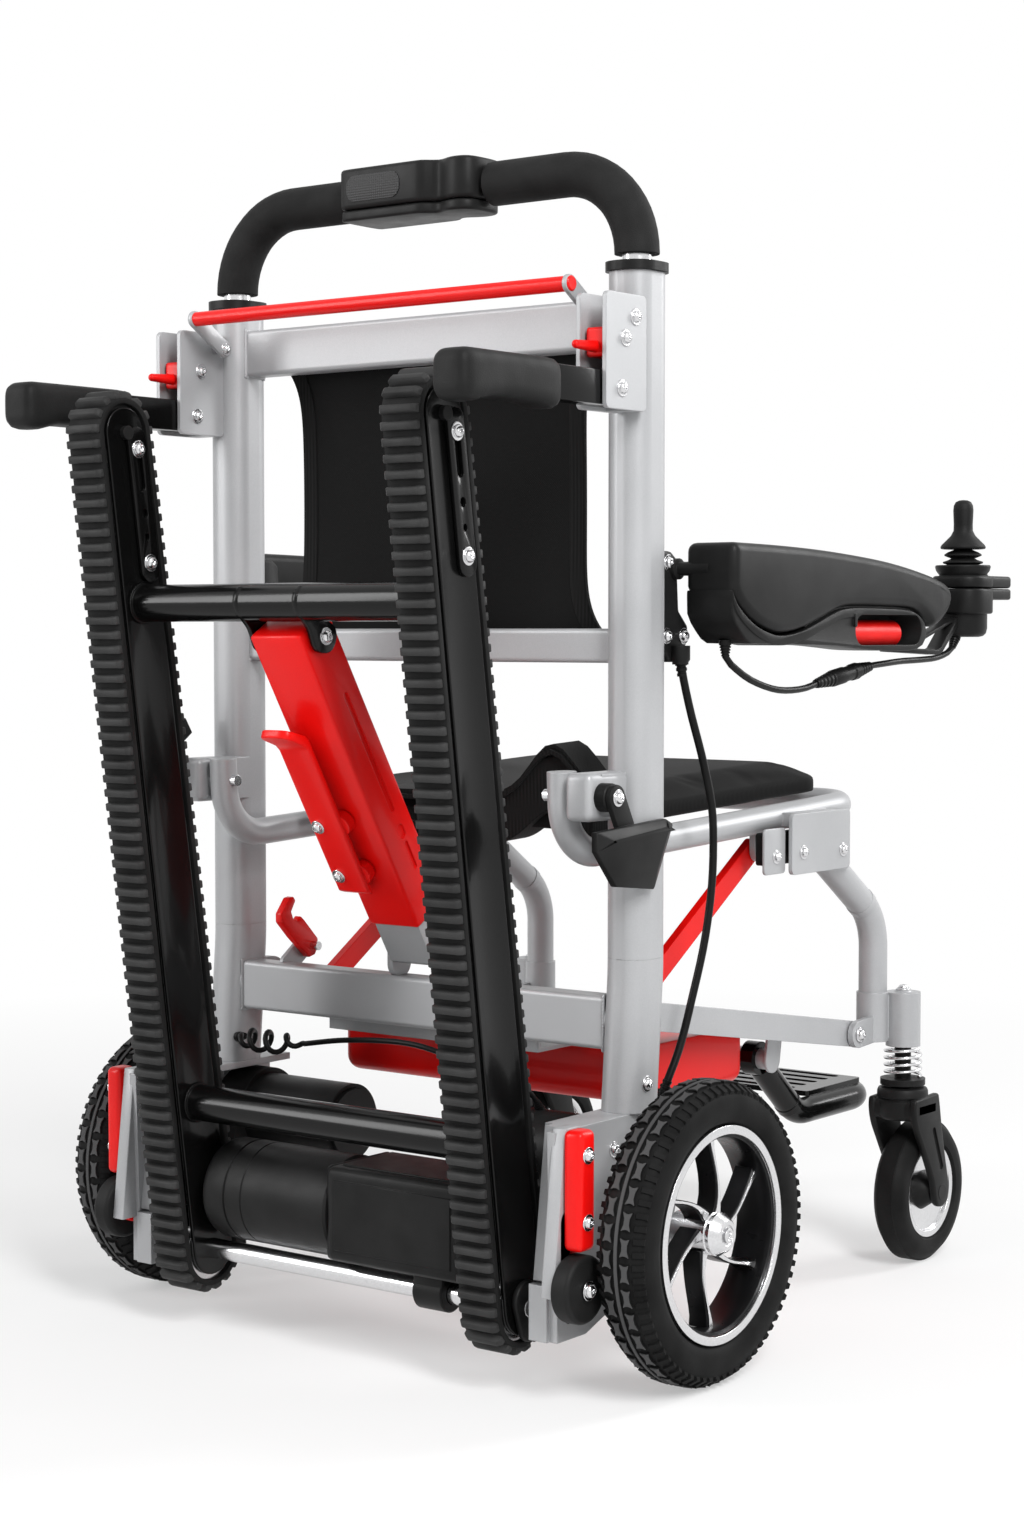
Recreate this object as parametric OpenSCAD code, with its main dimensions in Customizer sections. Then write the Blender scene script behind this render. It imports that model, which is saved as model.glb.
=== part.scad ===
// Stair climbing wheelchair: a folding powered chair with a pair of toothed climbing tracks behind it.
// Millimetres. X is the sitter's right, Y is forward from the rear axle, Z is up from the floor.

/* [Wheels] */
// Diameter of the rear tyre
rear_wheel_d = 254; // [230:1:300]
// Width of the rear tyre
rear_tyre_w = 48; // [40:1:52]
// Sideways place of a rear wheel's middle
wheel_x = 298; // [296:1:320]
// Radius of the rear rim where the tyre sits
rim_r = 91; // [80:1:98]
// Diameter of a front caster wheel
caster_d = 140; // [120:1:144]
// Width of a front caster wheel
caster_w = 34; // [26:1:38]
// Distance of a caster's axle ahead of its swivel
caster_trail = 34; // [24:1:44]

/* [Rear frame] */
// Sideways place of an upright's middle
upright_x = 226; // [222:1:228]
// Width of an upright across the chair
upright_w = 40; // [36:1:42]
// Depth of an upright along the chair
upright_d = 48; // [44:1:54]
// Corner radius of an upright
upright_corner = 17; // [12:1:17]
// Height of an upright's top
upright_top_z = 922; // [900:1:960]
// Height where the upright bends back
upright_bend_z = 350; // [335:1:420]
// Angle of the upright's lower end
upright_kick = 4.5; // [1:0.5:6]
// Wall of the frame tubes
tube_wall = 2.5; // [1.5:0.5:4]
// Height of the top bar's middle
top_bar_z = 881; // [875:1:890]
// Height of the middle bar's middle
mid_bar_z = 612; // [606:1:618]
// Height of the low bar's middle
low_bar_z = 294; // [290:1:296]

/* [Push handle] */
// Straight length of the handle between the upright's top and its bend
handle_rise = 16; // [12:1:60]
// Diameter of the handle's steel tube
handle_d = 25; // [20:1:30]
// Diameter of the foam grip
foam_d = 38; // [32:1:44]
// Bend radius of the handle
handle_bend = 72; // [60:1:90]
// Width of the control case
case_w = 147; // [120:1:180]

/* [Tracks] */
// Sideways place of a belt's middle
belt_x = 174.5; // [172:0.5:176]
// Width of a belt
belt_w = 39; // [34:1:40]
// Distance between the two pulley axles
track_len = 731; // [690:1:740]
// Backward lean of the tracks
track_lean = 8.1; // [7:0.1:9]
// Height of the drive shaft
shaft_z = 70; // [68:1:76]
// Radius over the lugs at the drive pulley
belt_r_low = 40; // [38:1:42]
// Radius over the lugs at the idler
belt_r_top = 36; // [34:1:38]
// Number of lugs on a belt
lug_count = 132; // [100:1:140]
// Height of a lug
lug_h = 6; // [4:0.5:8]
// Thickness of the belt under its lugs
belt_t = 5; // [4:0.5:6]
// Diameter of the drive shaft
shaft_d = 18; // [14:1:20]
// Diameter of the climbing motor
motor_d = 90; // [80:1:90]

/* [Seat and arms] */
// Sideways place of a seat tube
seat_x = 192; // [188:1:192]
// Diameter of a seat tube
seat_tube_d = 25; // [22:1:25]
// Height of the seat tube at its rear bend
seat_z = 438; // [430:1:442]
// Upward slope of the seat tubes to the front
seat_tilt = 2.6; // [0:0.1:4]
// Length of the seat tubes ahead of the rear bend
seat_len = 436; // [420:1:450]
// Width of the cushion
cushion_w = 368; // [320:1:376]
// Thickness of the cushion at its crown
cushion_t = 33; // [24:1:33]
// Sideways place of an armrest's middle
arm_x = 271; // [270:1:276]
// Width of an armrest
arm_w = 52; // [44:1:52]
// Length of an armrest
arm_len = 403; // [380:1:410]
// Height of an armrest's top
arm_top_z = 699; // [694:1:704]

/* [Front] */
// Sideways place of a leg tube
leg_x = 203; // [203:1:205]
// Diameter of a leg tube
leg_d = 28; // [24:1:28]
// Sideways place of a rail's middle
rail_x = 192; // [188:1:192]
// Width of a rail
rail_w = 24; // [18:1:24]
// Height of a rail
rail_h = 25; // [22:1:25]
// Sideways place of a footrest tube
foot_x = 162; // [140:1:162]
// Diameter of the footrest tube
foot_d = 25; // [20:1:25]

/* [Hidden] */
$fn = 48;
over = 4; // how far a cut runs past the face that it opens
gap = 0.2; // between pieces of one body that are bolted face to face
run = 0.05; // radial clearance of a running shaft
seam = 0.6; // gap and rise at a ring that joins two lengths of tube
seam_half = 4;
axle_z = rear_wheel_d / 2;
handle_z = upright_top_z + handle_rise + handle_bend;

// Bars between the uprights
bar_corner = 4;
bar_half = upright_x - upright_w / 2;
bar_front_y = 20;
top_bar_h = 42;
top_bar_d = 24;
mid_bar_h = 29;
mid_bar_d = 22;
low_bar_h = 45;
low_bar_d = 26;
low_bar_front_y = 13;
upright_y = 6;
upright_foot_z = 222;
upright_bend_r = 300;
upright_front_y = upright_y + upright_d / 2;
upright_rear_y = upright_y - upright_d / 2;
collar_rim = 3;
collar_t = 8;
collar_skirt = 22;

// Seat hinge, in the seat's own tilted frame
seat_y = -4;
seat_hook_r = 46;
seat_pivot_n = 52;
seat_hook_n = 72;
seat_corner_r = 44;
pin_r = 5;
pivot_y = seat_y - seat_hook_r * cos(seat_tilt) - seat_pivot_n * sin(seat_tilt);
pivot_z = seat_z - seat_hook_r * sin(seat_tilt) + seat_pivot_n * cos(seat_tilt);
clevis_d = 42;
clevis_h = 38;
clevis_out = 6;
clevis_x1 = upright_x + clevis_out;

// Front pivots of the folding parallelogram, and its rear lower pivot
leg_pin_y = 330;
leg_pin_z = 425;
rail_pin_y = 410;
rail_pin_z = 234;
rail_rear_y = pivot_y + rail_pin_y - leg_pin_y;
rail_rear_z = pivot_z + rail_pin_z - leg_pin_z;
rail_len = norm([rail_pin_y - rail_rear_y, rail_pin_z - rail_rear_z]);
rail_slope = atan2(rail_pin_z - rail_rear_z, rail_pin_y - rail_rear_y);
rail_wall = 2.5;
rail_slot_w = 9;
rail_slot_s0 = 60;
rail_slot_s1 = 270;
rail_lug_d = 40;
rail_lug_t = 8;

// Seat side plates, brace hangers
plate_x = 219;
plate_t = 4;
plate_y0 = 264;
plate_y1 = 369;
plate_z0 = 400;
plate_z1 = 456;
plate_corner = 5;
plate_block_h = 13;
plate_block_inset = 14;
brace_y = 272;
brace_z = 421;
brace_x = 173;
brace_t = 8;
brace_w = 20;
brace_rail_s = 40;
hanger_t = 6;
hanger_w = 22;
hanger_gap = 1.5;
brace_pin_r = 4;

// Cushion and lap belt
cushion_s0 = 16;
cushion_s1 = 424;
cushion_edge = 12;
cushion_steps = 14;
cushion_pull_share = 0.02;
cushion_seat_gap = 0.3;
belt_strap_t = 5;
belt_strap_w = 46;
belt_strap_s = 12;
belt_strap_x0 = -88;
belt_strap_x1 = 176;
belt_hump = 17;
belt_strap_sink = 1;
belt_steps = 24;

// Backrest sling
sling_t = 12;
sling_z0 = 606;
sling_z1 = 886;
sling_half_mid = 160;
sling_half_end = 205;
sling_steps = 28;
sling_power = 6;

// Lift handle bracket on an upright's rear
lift_out = 11;
lift_x = upright_x + lift_out;
lift_gap = 22;
lift_wall = 4;
lift_rear_y = -75;
lift_z0 = 804;
lift_z1 = 898;
lift_corner = 5;
lift_flange = 2.5;
lift_flange_d = 20;
lift_pin_y = -53;
lift_pin_z = 821;
lift_bar_w = 20;
lift_bar_h = 28;
lift_bar_y = -34;
grip_front_y = -135;
grip_rear_y = -262;
grip_w = 34;
grip_h = 36;
grip_lobe = 5;
grip_lobe_d = 34;
latch_y = -48;
latch_z = 862;
latch_pin_r = 4;
latch_d = 34;
latch_h = 24;
latch_side = 3;
latch_tip_y = -96;
latch_tip_z = 854;
latch_tip_r = 3.5;
latch_root_r = 6;

// Release rod across the back
release_y = -30;
release_z = 883;
rod_y = -68;
rod_z = 907;
rod_r = 6.5;
release_arm_x = 208;
release_arm_t = 5;
release_arm_w = 18;

// Wheel bracket below an upright
bracket_x0 = 214;
bracket_out_x = 232;
bracket_out_t = 8;
bracket_top_t = 6;
bracket_rear_y = -128;
bracket_front_y = 52;
bracket_low_z = 50;
bracket_shares = [[0.02, 0.28], [0, 1], [0.18, 1], [0.2, 0.977], [1, 0.977], [1, 0.6], [0.9, 0.2],
  [0.4, 0.06], [0.24, 0], [0.02, 0]];
bracket_h = upright_foot_z - bracket_low_z;
post_top_y = -84;
post_low_y = -100;
post_d = 22;
post_low_z = 98;
block_front_y = -86;
block_top_z = 96;
shaft_y = -108;
track_pin_r = 7;
roller_y = -121;
roller_z = 97;
roller_r = 28;
roller_w = 18;
roller_gap = 0.5;
roller_crown = 4;
roller_arm_w = 28;
roller_arm_t = 9;
roller_arm_d = 24;
roller_arm_top_z = 226;
roller_arm_low_z = 132;
roller_tongue_r = 12;

// Wheel drive behind each rear wheel
gearbox_x0 = 198;
gearbox_r = 41;
drive_y = 14;
drive_z = 172;
drive_r = 36;
drive_x0 = 92;
drive_rim = 4;
axle_r = 8;
axle_hole_r = 11;

// Rear rim
rim_lip = 11;
rim_wall = 5;
rim_half = 20;
rim_face_t = 4;
spoke_count = 6;
spoke_w = 8;
spoke_r = 62;
spoke_t = 15;
hub_r = 20;
hub_x0 = 264;
hub_cap_r = 13;
hub_cap_x1 = 325;
tyre_corner = 16;
tyre_groove_w = 3;
tyre_groove_t = 4;
tyre_groove_share = 0.2;

// Battery below the rails
battery_w = 350;
battery_y0 = 92;
battery_y1 = 262;
battery_z0 = 204;
battery_z1 = 258;
battery_bevel = 14;
rib_w = 60;
rib_t = 3;
rib_pitch_share = 1.7;
tray_t = 4;
tray_w = 240;
tray_h = 40;

// Track frame
track_wall = 3;
beam_half = 23;
beam_end = 43;
beam_top_b = track_len - beam_end;
beam_pocket = 36;
tension_t = 3.5;
tension_half = 16;
tension_rise = 4;
tension_slot_in = 49;
tension_slot_len = 32;
tension_slot_b1 = track_len - tension_slot_in;
tension_slot_b0 = tension_slot_b1 - tension_slot_len;
tension_hole_r = 5;
tension_hole_step = 16;
idler_axle_r = 6;
pulley_gap = 0.4;
pulley_side = 1;
boss_len = 8;
pivot_boss_len = 11;
cross_tube_r = 16;
cross_low_b = 136;
cross_top_in = 147;
cross_top_b = track_len - cross_top_in;
tension_low_b = cross_top_b + cross_tube_r + tension_rise;
motor_y = -96;
motor_z = 126;
motor_x0 = -142;
motor_x1 = 5;
motor_cap_t = 22;
motor_cap_step = 2;
box_y0 = -140;
box_y1 = -52;
box_z0 = 87;
boss_room = 0.5;
boss_r = box_z0 - shaft_z - boss_room;
box_z1 = 169;
box_corner = 8;
box_split_x = 60;
box_split_rim = 2;
box_split_t = 5;
drive_boss_x0 = 88;
drive_boss_x1 = 120;
drive_boss_r = 24;

// Strut from the low bar to the upper track tube
strut_low_y = 1;
strut_low_z = 340;
strut_ahead = 20.29;
strut_below = 28.17;
strut_top_y = shaft_y - cross_top_b * sin(track_lean) + strut_ahead;
strut_top_z = shaft_z + cross_top_b * cos(track_lean) - strut_below;
strut_len = norm([strut_top_y - strut_low_y, strut_top_z - strut_low_z]);
strut_angle = atan2(strut_top_z - strut_low_z, strut_top_y - strut_low_y);
strut_w = 56;
strut_d = 44;
strut_wall = 3;
strut_fit = 0.4;
strut_start = 42;
strut_end_r = 13;
strut_inner_len = 0.777 * strut_len;
strut_slot_w = 12;
strut_slot_s = strut_len * [0.457, 0.786];
strut_lug_x = 25;
strut_lug_t = 6;
strut_ear_x = 29.5;
strut_ear_t = 6;
strut_ear_rim = 5;
release_pin_s = strut_len * [0.323, 0.4816];
release_pin_r = 4.5;
release_x0 = -32;
release_w = 34;
release_t = 6;
release_stand = 9;
release_s0 = 0.256 * strut_len;
release_s1 = 0.7315 * strut_len;
release_tab = 24;
release_travel = 12;
release_room = 0.5;

// Fold hook on the low bar
hook_x = -159;
hook_t = 8;
hook_y = 32;
hook_z = 330;
hook_r = 9;
hook_h = 30;
hook_nose = 20;
hook_bar = 9;
hook_lug_w = 20;

// Belt stalk beside the seat hinge
stalk_t = 5;
stalk_w = 26;
stalk_len = 42;
stalk_hub_r = 11;
stalk_hub_t = 11;
wing_w = 84;
wing_h = 104;
wing_t = 6;
wing_shares = [[-0.43, -0.43], [-0.27, -0.5], [0.2, -0.41], [0.57, 0.03], [0.17, 0.51], [0.06, 0.44]];
stalk_turn_right = -62;
stalk_turn_left = 150;

// Armrest bracket and armrest
arm_y = 47;
arm_pivot_y = 53;
arm_pivot_z = 677;
arm_bottom_z = 613;
arm_back_r = 22;
arm_bracket_x0 = 222;
arm_bracket_t = 12;
arm_bracket_d = 34;
arm_bracket_z0 = 606;
arm_bracket_z1 = 692;
arm_pin_len = 26;
gland_low_r = 4.4;
gland_top_r = 5.2;
gland_h = 12;
arm_top_shares = [[0, 1], [0.35, 1], [0.62, 0.93], [0.85, 0.78], [0.97, 0.62], [1, 0.5]];
arm_split_shares = [[0, 0.4], [0.1, 0.4], [0.2, 0.2], [0.32, 0.11], [0.44, 0.16], [0.54, 0.3], [0.62, 0.34],
  [0.76, 0.33], [0.82, 0.2], [0.84, 0.1]];
arm_low_shares = [[0.03, 0.02], [0.76, -0.06], [0.82, 0]];
lever_y0_share = 0.6;
lever_y1_share = 0.77;
lever_r = 12;
lever_z = 621;
lever_room = 1.5;
lever_x = 251;
lever_pin_r = 3;

// Joystick
stick_x = 265;
stick_ahead = 62;
stick_y = arm_y + arm_len + stick_ahead;
stick_z = 683;
stick_ring_r = 27;
stick_ring_z0 = 676;
stick_ring_z1 = 688;
stick_bore_r = 13;
stick_bore_d = 14;
stick_case_w = 54;
stick_case_z0 = 640;
stick_case_z1 = 678;
stick_low_r = 24;
stick_low_z0 = 618;
panel_w = 46;
panel_reach = 64;
panel_y1 = stick_y + panel_reach;
panel_z0 = 655;
panel_corner = 10;
strap_w = 24;
strap_t = 5;
strap_share = -0.05;
gimbal_r = 11.5;
gimbal_wall = 2.5;
gimbal_h = 5;
gimbal_pin_r = 1.2;
gimbal_pin_in = 1;
stick_ball_r = 8.4;
stick_r = 6;
knob_r = 8;
knob_top_z = 752;
boot_z0 = 697;
boot_rib_h = 7;
boot_ribs = 3;
boot_r0 = 20;
boot_taper = 2.5;
boot_root = 5;
boot_hat_h = 12;
button_r = 6;
button_in = 24;
button_y = panel_y1 - button_in;
button_proud = 2;
button_h = 6;
button_gap = 0.4;
button_floor = 2.5;

// Control case on the push handle
case_x0 = -75;
case_rear_y = -27;
case_front_y = 34;
case_below = 24;
case_above = 23;
case_low_z = handle_z - case_below;
case_top_z = handle_z + case_above;
case_corner = 10;
case_lid_t = 12;
case_lid_in = 4;
neck_share = 0.68;
neck_in = 9;
switch_in = 22;
switch_x = case_x0 + case_w - switch_in;
switch_w = 24;
switch_d = 14;
switch_h = 7;
switch_pocket = 9;
switch_gap = 1.2;
switch_pin_r = 1.5;
foam_drop = 1;
foam_end_z = handle_z - handle_bend - foam_drop;
handle_low_z = 700;

// Front legs and casters
leg_wall = 2.5;
leg_bend_y = 450;
leg_bend_r = 55;
leg_bend_z = 315;
leg_boss_r = 15;
sleeve_r = 16;
sleeve_z0 = 223;
sleeve_z1 = 271;
leg_lug_t = 6;
leg_lug_w = 26;
caster_x = 227;
caster_y = 468;
house_r = 17;
house_z0 = 218;
house_z1 = 271;
house_cap_r = 9;
house_cap_t = 5;
stem_r = 8;
stem_z0 = 150;
stem_z1 = 250;
stem_seat_r = 22;
stem_seat_z0 = 180;
stem_seat_z1 = 186;
spring_wire = 3.2;
spring_r = 17.5;
spring_turns = 4;
spring_end_gap = 0.4;
ring_steps = 8;
wire_sides = 6;
crown_r = 25;
crown_z0 = 146;
crown_z1 = 178;
fork_gap = 3;
fork_t = 7;
fork_end_r = 15;
caster_axle_r = 5;
caster_hub_r = 19;
caster_rim_r = 48;
caster_rim_in = 4;
caster_round_share = 0.37;

// Footrest
foot_pivot_y = 298;
foot_pivot_z = 221;
foot_low_y = 372;
foot_low_z = 158;
foot_front_y = 520;
foot_bend_r = 46;
foot_wall = 2;
foot_axle_r = 10;
foot_boss_r = 16;
foot_boss_w = 14;
footplate_y0 = 395;
footplate_y1 = 500;
footplate_t = 5;
treads = 5;
tread_w = 10;
tread_corner = 4.5;
tread_share = 0.74;

// Cords
cable_r = 3.5;
lead_r = 3;
wire_r = 2.5;
cord_sides = 8;
plug_r = 7;
cable_route = [[238.5, 54, 606], [239, 56, 590], [241, 66, 556], [243, 82, 515], [246, 92, 475],
  [246, 95, 440], [246, 92, 400], [244, 84, 355], [240, 72, 310], [236, 60, 270], [232, 46, 240],
  [228, 40, 222]];
lead_arm_len = 403; // the armrest length that these points are drawn for
lead_points = [[270, 28, 614], [270, 29, 602], [270, 45, 592], [270, 73, 581], [270, 113, 573],
  [270, 153, 573], [270, 183, 578], [270, 213, 583], [270, 243, 588], [270, 273, 592], [269, 303, 594],
  [268, 338, 596], [267, 378, 597], [266, 413, 599], [265, 441, 606], [265, 450, 618]];
lead_route = [for (p = lead_points) [p[0], arm_y + p[1] * arm_len / lead_arm_len, p[2]]];
plug_route_share = 0.52;
wire_route = [[-186, -36, 246], [-110, -36, 250], [-60, -36, 258], [0, -36, 262], [40, -34, 258],
  [78, -24, 244], [102, -8, 233], [116, 6, 222], [120, drive_y, drive_z + drive_r + gap]];
curl_start = [-204.5, -20, 246];
curl_end = [-112, -34, 250];
curl_r = 9;
curl_turns = 4;

// Where the box's middle goes to the origin
reach_front_y = panel_y1;
origin_y = (grip_rear_y + reach_front_y) / 2;

silver = [0.72, 0.73, 0.74];
red = [0.86, 0.05, 0.04];
black = [0.06, 0.06, 0.065];
rubber = [0.1, 0.1, 0.105];
steel = [0.8, 0.81, 0.82];

module at(v) {
  translate(v) children();
}

// Copies the right-hand shape to the left as well
module both() {
  children();
  mirror([1, 0, 0]) children();
}

// Puts the right-hand shape on one side
module on_side(s) {
  mirror([s < 0 ? 1 : 0, 0, 0]) children();
}

// Extrudes an outline of Y and Z from x0 to x1
module along_x(x0, x1) {
  at([x0, 0, 0]) rotate([90, 0, 90]) linear_extrude(x1 - x0) children();
}

// Extrudes an outline of X and Z from y0 to y1
module along_y(y0, y1) {
  at([0, y1, 0]) rotate([90, 0, 0]) linear_extrude(y1 - y0) children();
}

module rod_x(r, x0, x1, y, z) {
  at([x0, y, z]) rotate([0, 90, 0]) cylinder(r = r, h = x1 - x0);
}

// Turns an outline of radius and width round an axle along X
module turn_x(x, y, z) {
  at([x, y, z]) rotate([0, 90, 0]) rotate_extrude() children();
}

module soft_rect(w, h, r) {
  square([w - 2 * r, h], center = true);
  square([w, h - 2 * r], center = true);
  for (i = [-1, 1], j = [-1, 1]) at([i * (w / 2 - r), j * (h / 2 - r)]) circle(r);
}

module ring(r, wall) {
  difference() {
    circle(r);
    circle(r - wall);
  }
}

// A bar of width w with round ends at p and q
module link(p, q, w) {
  at(p) rotate(atan2(q[1] - p[1], q[0] - p[0])) {
    circle(w / 2);
    at([0, -w / 2]) square([norm(q - p), w]);
    at([norm(q - p), 0]) circle(w / 2);
  }
}

// A straight tube in the plane of Y and Z
module tube_yz(x, p, q, r, wall) {
  angle = atan2(q[1] - p[1], q[0] - p[0]);
  at([x, p[0], p[1]]) rotate([angle - 90, 0, 0]) linear_extrude(norm(q - p)) ring(r, wall);
}

// A tube bend in the plane of Y and Z, turning from angle a0 about its centre
module elbow_yz(x, centre, bend, a0, turn, r, wall) {
  at([x, centre[0], centre[1]]) rotate([90, 0, 90]) rotate([0, 0, a0]) mirror([0, turn < 0 ? 1 : 0, 0])
    rotate_extrude(angle = abs(turn)) at([bend, 0]) ring(r, wall);
}

// Unit vector from p to q
function dir(p, q) = (q - p) / norm(q - p);

// One polyhedron swept along points, closed at both ends
module sweep(route, r, sides) {
  n = len(route);
  tangents = [for (i = [0 : n - 1]) dir(route[max(i - 1, 0)], route[min(i + 1, n - 1)])];
  side0 = [for (t = tangents) let (c = cross(t, abs(t[2]) > 0.9 ? [0, 1, 0] : [0, 0, 1])) c / norm(c)];
  rings = [for (i = [0 : n - 1], k = [0 : sides - 1])
    let (a = 360 * k / sides, u = side0[i], v = cross(tangents[i], u))
      route[i] + r * (cos(a) * u + sin(a) * v)];
  walls = [for (i = [0 : n - 2], k = [0 : sides - 1])
    let (m = (k + 1) % sides, b = i * sides)
      each [[b + k, b + sides + m, b + m], [b + k, b + sides + k, b + sides + m]]];
  ends = [[for (k = [0 : sides - 1]) k], [for (k = [sides - 1 : -1 : 0]) (n - 1) * sides + k]];
  polyhedron(concat(rings, [route[0], route[n - 1]]),
        concat(walls, [for (k = [0 : sides - 1]) [n * sides, k, (k + 1) % sides]],
          [for (k = [0 : sides - 1])
            [n * sides + 1, (n - 1) * sides + (k + 1) % sides, (n - 1) * sides + k]]));
}

// Everything on the seat is drawn in its tilted frame
module in_seat() {
  at([0, seat_y, seat_z]) rotate([seat_tilt, 0, 0]) children();
}

// Along a rail from its rear pivot
module in_rail() {
  at([0, rail_rear_y, rail_rear_z]) rotate([rail_slope, 0, 0]) children();
}

// Along a track: Y across the track towards the front, Z from the drive shaft to the idler
module in_track() {
  at([0, shaft_y, shaft_z]) rotate([track_lean, 0, 0]) children();
}

// Along the strut: Z from its low pin to its top pin, Y towards the front
module in_strut() {
  at([0, strut_low_y, strut_low_z]) rotate([strut_angle - 90, 0, 0]) children();
}

module upright_outline(inset) {
  soft_rect(upright_d - 2 * inset, upright_w - 2 * inset, upright_corner - inset);
}

// One upright, straight above and kicked back below its bend
module upright_solid(inset, past) {
  at([upright_x, upright_y - upright_bend_r, upright_bend_z]) rotate([90, 0, 90]) {
    at([upright_bend_r, 0, 0]) rotate([-90, 0, 0])
      linear_extrude(upright_top_z - upright_bend_z + past) upright_outline(inset);
    rotate([0, 0, -upright_kick]) {
      rotate_extrude(angle = upright_kick) at([upright_bend_r, 0]) upright_outline(inset);
      at([upright_bend_r, 0, 0]) rotate([90, 0, 0])
        linear_extrude(upright_bend_z - upright_foot_z) upright_outline(inset);
    }
  }
}

// The block behind the upright that holds the seat's rear pin, and the lug in front for the rail's
module upright_lugs() {
  difference() {
    along_x(bar_half, clevis_x1) at([upright_rear_y - clevis_d / 2 + upright_corner, pivot_z])
      square([clevis_d + upright_corner, clevis_h], center = true);
    rod_x(pin_r, bar_half - over, clevis_x1 + over, pivot_y, pivot_z);
  }
  difference() {
    along_x(bar_half, bar_half + rail_lug_t)
      link([rail_rear_y, rail_rear_z], [upright_y, rail_rear_z], rail_lug_d);
    rod_x(pin_r, bar_half - over, clevis_x1 + over, rail_rear_y, rail_rear_z);
  }
}

module uprights() {
  color(silver) both() difference() {
    union() {
      upright_solid(0, 0);
      upright_lugs();
    }
    upright_solid(tube_wall, over);
    at([0, -upright_d, 0]) cube([2 * upright_x, 2 * upright_d, upright_foot_z]);
  }
}

module cross_bar(front_y, z, d, h) {
  along_x(-bar_half, bar_half) at([front_y - d / 2, z]) difference() {
    soft_rect(d, h, bar_corner);
    square([d - 2 * tube_wall, h - 2 * tube_wall], center = true);
  }
}

module crossbars() {
  low_top = low_bar_z + low_bar_h / 2;
  color(silver) {
    cross_bar(bar_front_y, top_bar_z, top_bar_d, top_bar_h);
    cross_bar(bar_front_y, mid_bar_z, mid_bar_d, mid_bar_h);
    cross_bar(low_bar_front_y, low_bar_z, low_bar_d, low_bar_h);
    both() along_x(strut_lug_x, strut_lug_x + strut_lug_t) difference() {
      link([strut_low_y, low_top - tube_wall + strut_end_r], [strut_low_y, strut_low_z], 2 * strut_end_r);
      at([strut_low_y, strut_low_z]) circle(pin_r);
    }
    along_x(-tray_w / 2, tray_w / 2) {
      at([low_bar_front_y - tray_t / 2, battery_z1])
        square([battery_y1 - battery_bevel - low_bar_front_y, tray_t]);
      at([low_bar_front_y - tray_t / 2, battery_z1]) square([tray_t, tray_h]);
    }
    along_x(hook_x - hook_t - gap - tray_t, hook_x - hook_t - gap) difference() {
      link([low_bar_front_y - tray_t, low_top - tube_wall], [hook_y, hook_z], hook_lug_w);
      at([hook_y, hook_z]) circle(latch_pin_r);
    }
  }
}

module upright_collars() {
  color(black) both() at([upright_x, upright_y, upright_top_z]) difference() {
    union() {
      linear_extrude(collar_t)
        soft_rect(upright_w + 2 * collar_rim, upright_d + 2 * collar_rim, upright_corner + collar_rim);
      at([0, 0, -collar_skirt]) linear_extrude(collar_skirt)
        soft_rect(upright_w - 2 * tube_wall - 2 * gap, upright_d - 2 * tube_wall - 2 * gap,
            upright_corner - tube_wall - gap);
    }
    at([0, 0, -collar_skirt - over]) cylinder(d = handle_d + 4 * run, h = collar_skirt + collar_t + 2 * over);
  }
}

module lift_brackets() {
  x0 = lift_x - lift_gap / 2 - lift_wall;
  x1 = lift_x + lift_gap / 2;
  mid_y = (lift_rear_y + upright_rear_y) / 2;
  mid_z = (lift_z0 + lift_z1) / 2;
  color(silver) both() difference() {
    union() {
      for (x = [x0, x1]) along_x(x, x + lift_wall) at([mid_y, mid_z])
        soft_rect(upright_rear_y - lift_rear_y, lift_z1 - lift_z0, lift_corner);
      along_x(x0, x1 + lift_wall) {
        at([upright_rear_y - lift_wall, lift_z0 + lift_corner])
          square([lift_wall, lift_z1 - lift_z0 - 2 * lift_corner]);
        at([upright_rear_y - lift_flange_d, lift_z0])
          square([lift_flange_d - lift_corner, lift_flange]);
      }
    }
    rod_x(pin_r, x0 - over, x1 + lift_wall + over, lift_pin_y, lift_pin_z);
    rod_x(latch_pin_r, x0 - over, x1 + lift_wall + over, latch_y, latch_z);
    rod_x(latch_pin_r, x0 - over, x0 + lift_wall + over, release_y, release_z);
  }
}

module lift_handle(s) {
  bar_mid_z = lift_pin_z;
  color(black) on_side(s) {
    difference() {
      at([lift_x, 0, bar_mid_z]) along_y(grip_rear_y + grip_w / 2, lift_bar_y) difference() {
        square([lift_bar_w, lift_bar_h], center = true);
        square([lift_bar_w - 2 * tube_wall, lift_bar_h - 2 * tube_wall], center = true);
      }
      rod_x(pin_r + run, lift_x - lift_gap, lift_x + lift_gap, lift_pin_y, lift_pin_z);
    }
    difference() {
      at([lift_x, 0, bar_mid_z - grip_lobe]) {
        at([0, 0, grip_lobe]) along_y(grip_rear_y, grip_front_y) soft_rect(grip_w, grip_h, grip_w / 2.6);
        for (y = [grip_rear_y, grip_front_y - grip_lobe_d])
          along_y(y, y + grip_lobe_d) soft_rect(grip_w, grip_h, grip_w / 2.6);
      }
      at([lift_x, 0, bar_mid_z]) along_y(grip_rear_y + grip_w / 2 - gap, grip_front_y + over)
        square([lift_bar_w + gap, lift_bar_h + gap], center = true);
    }
  }
}

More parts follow.
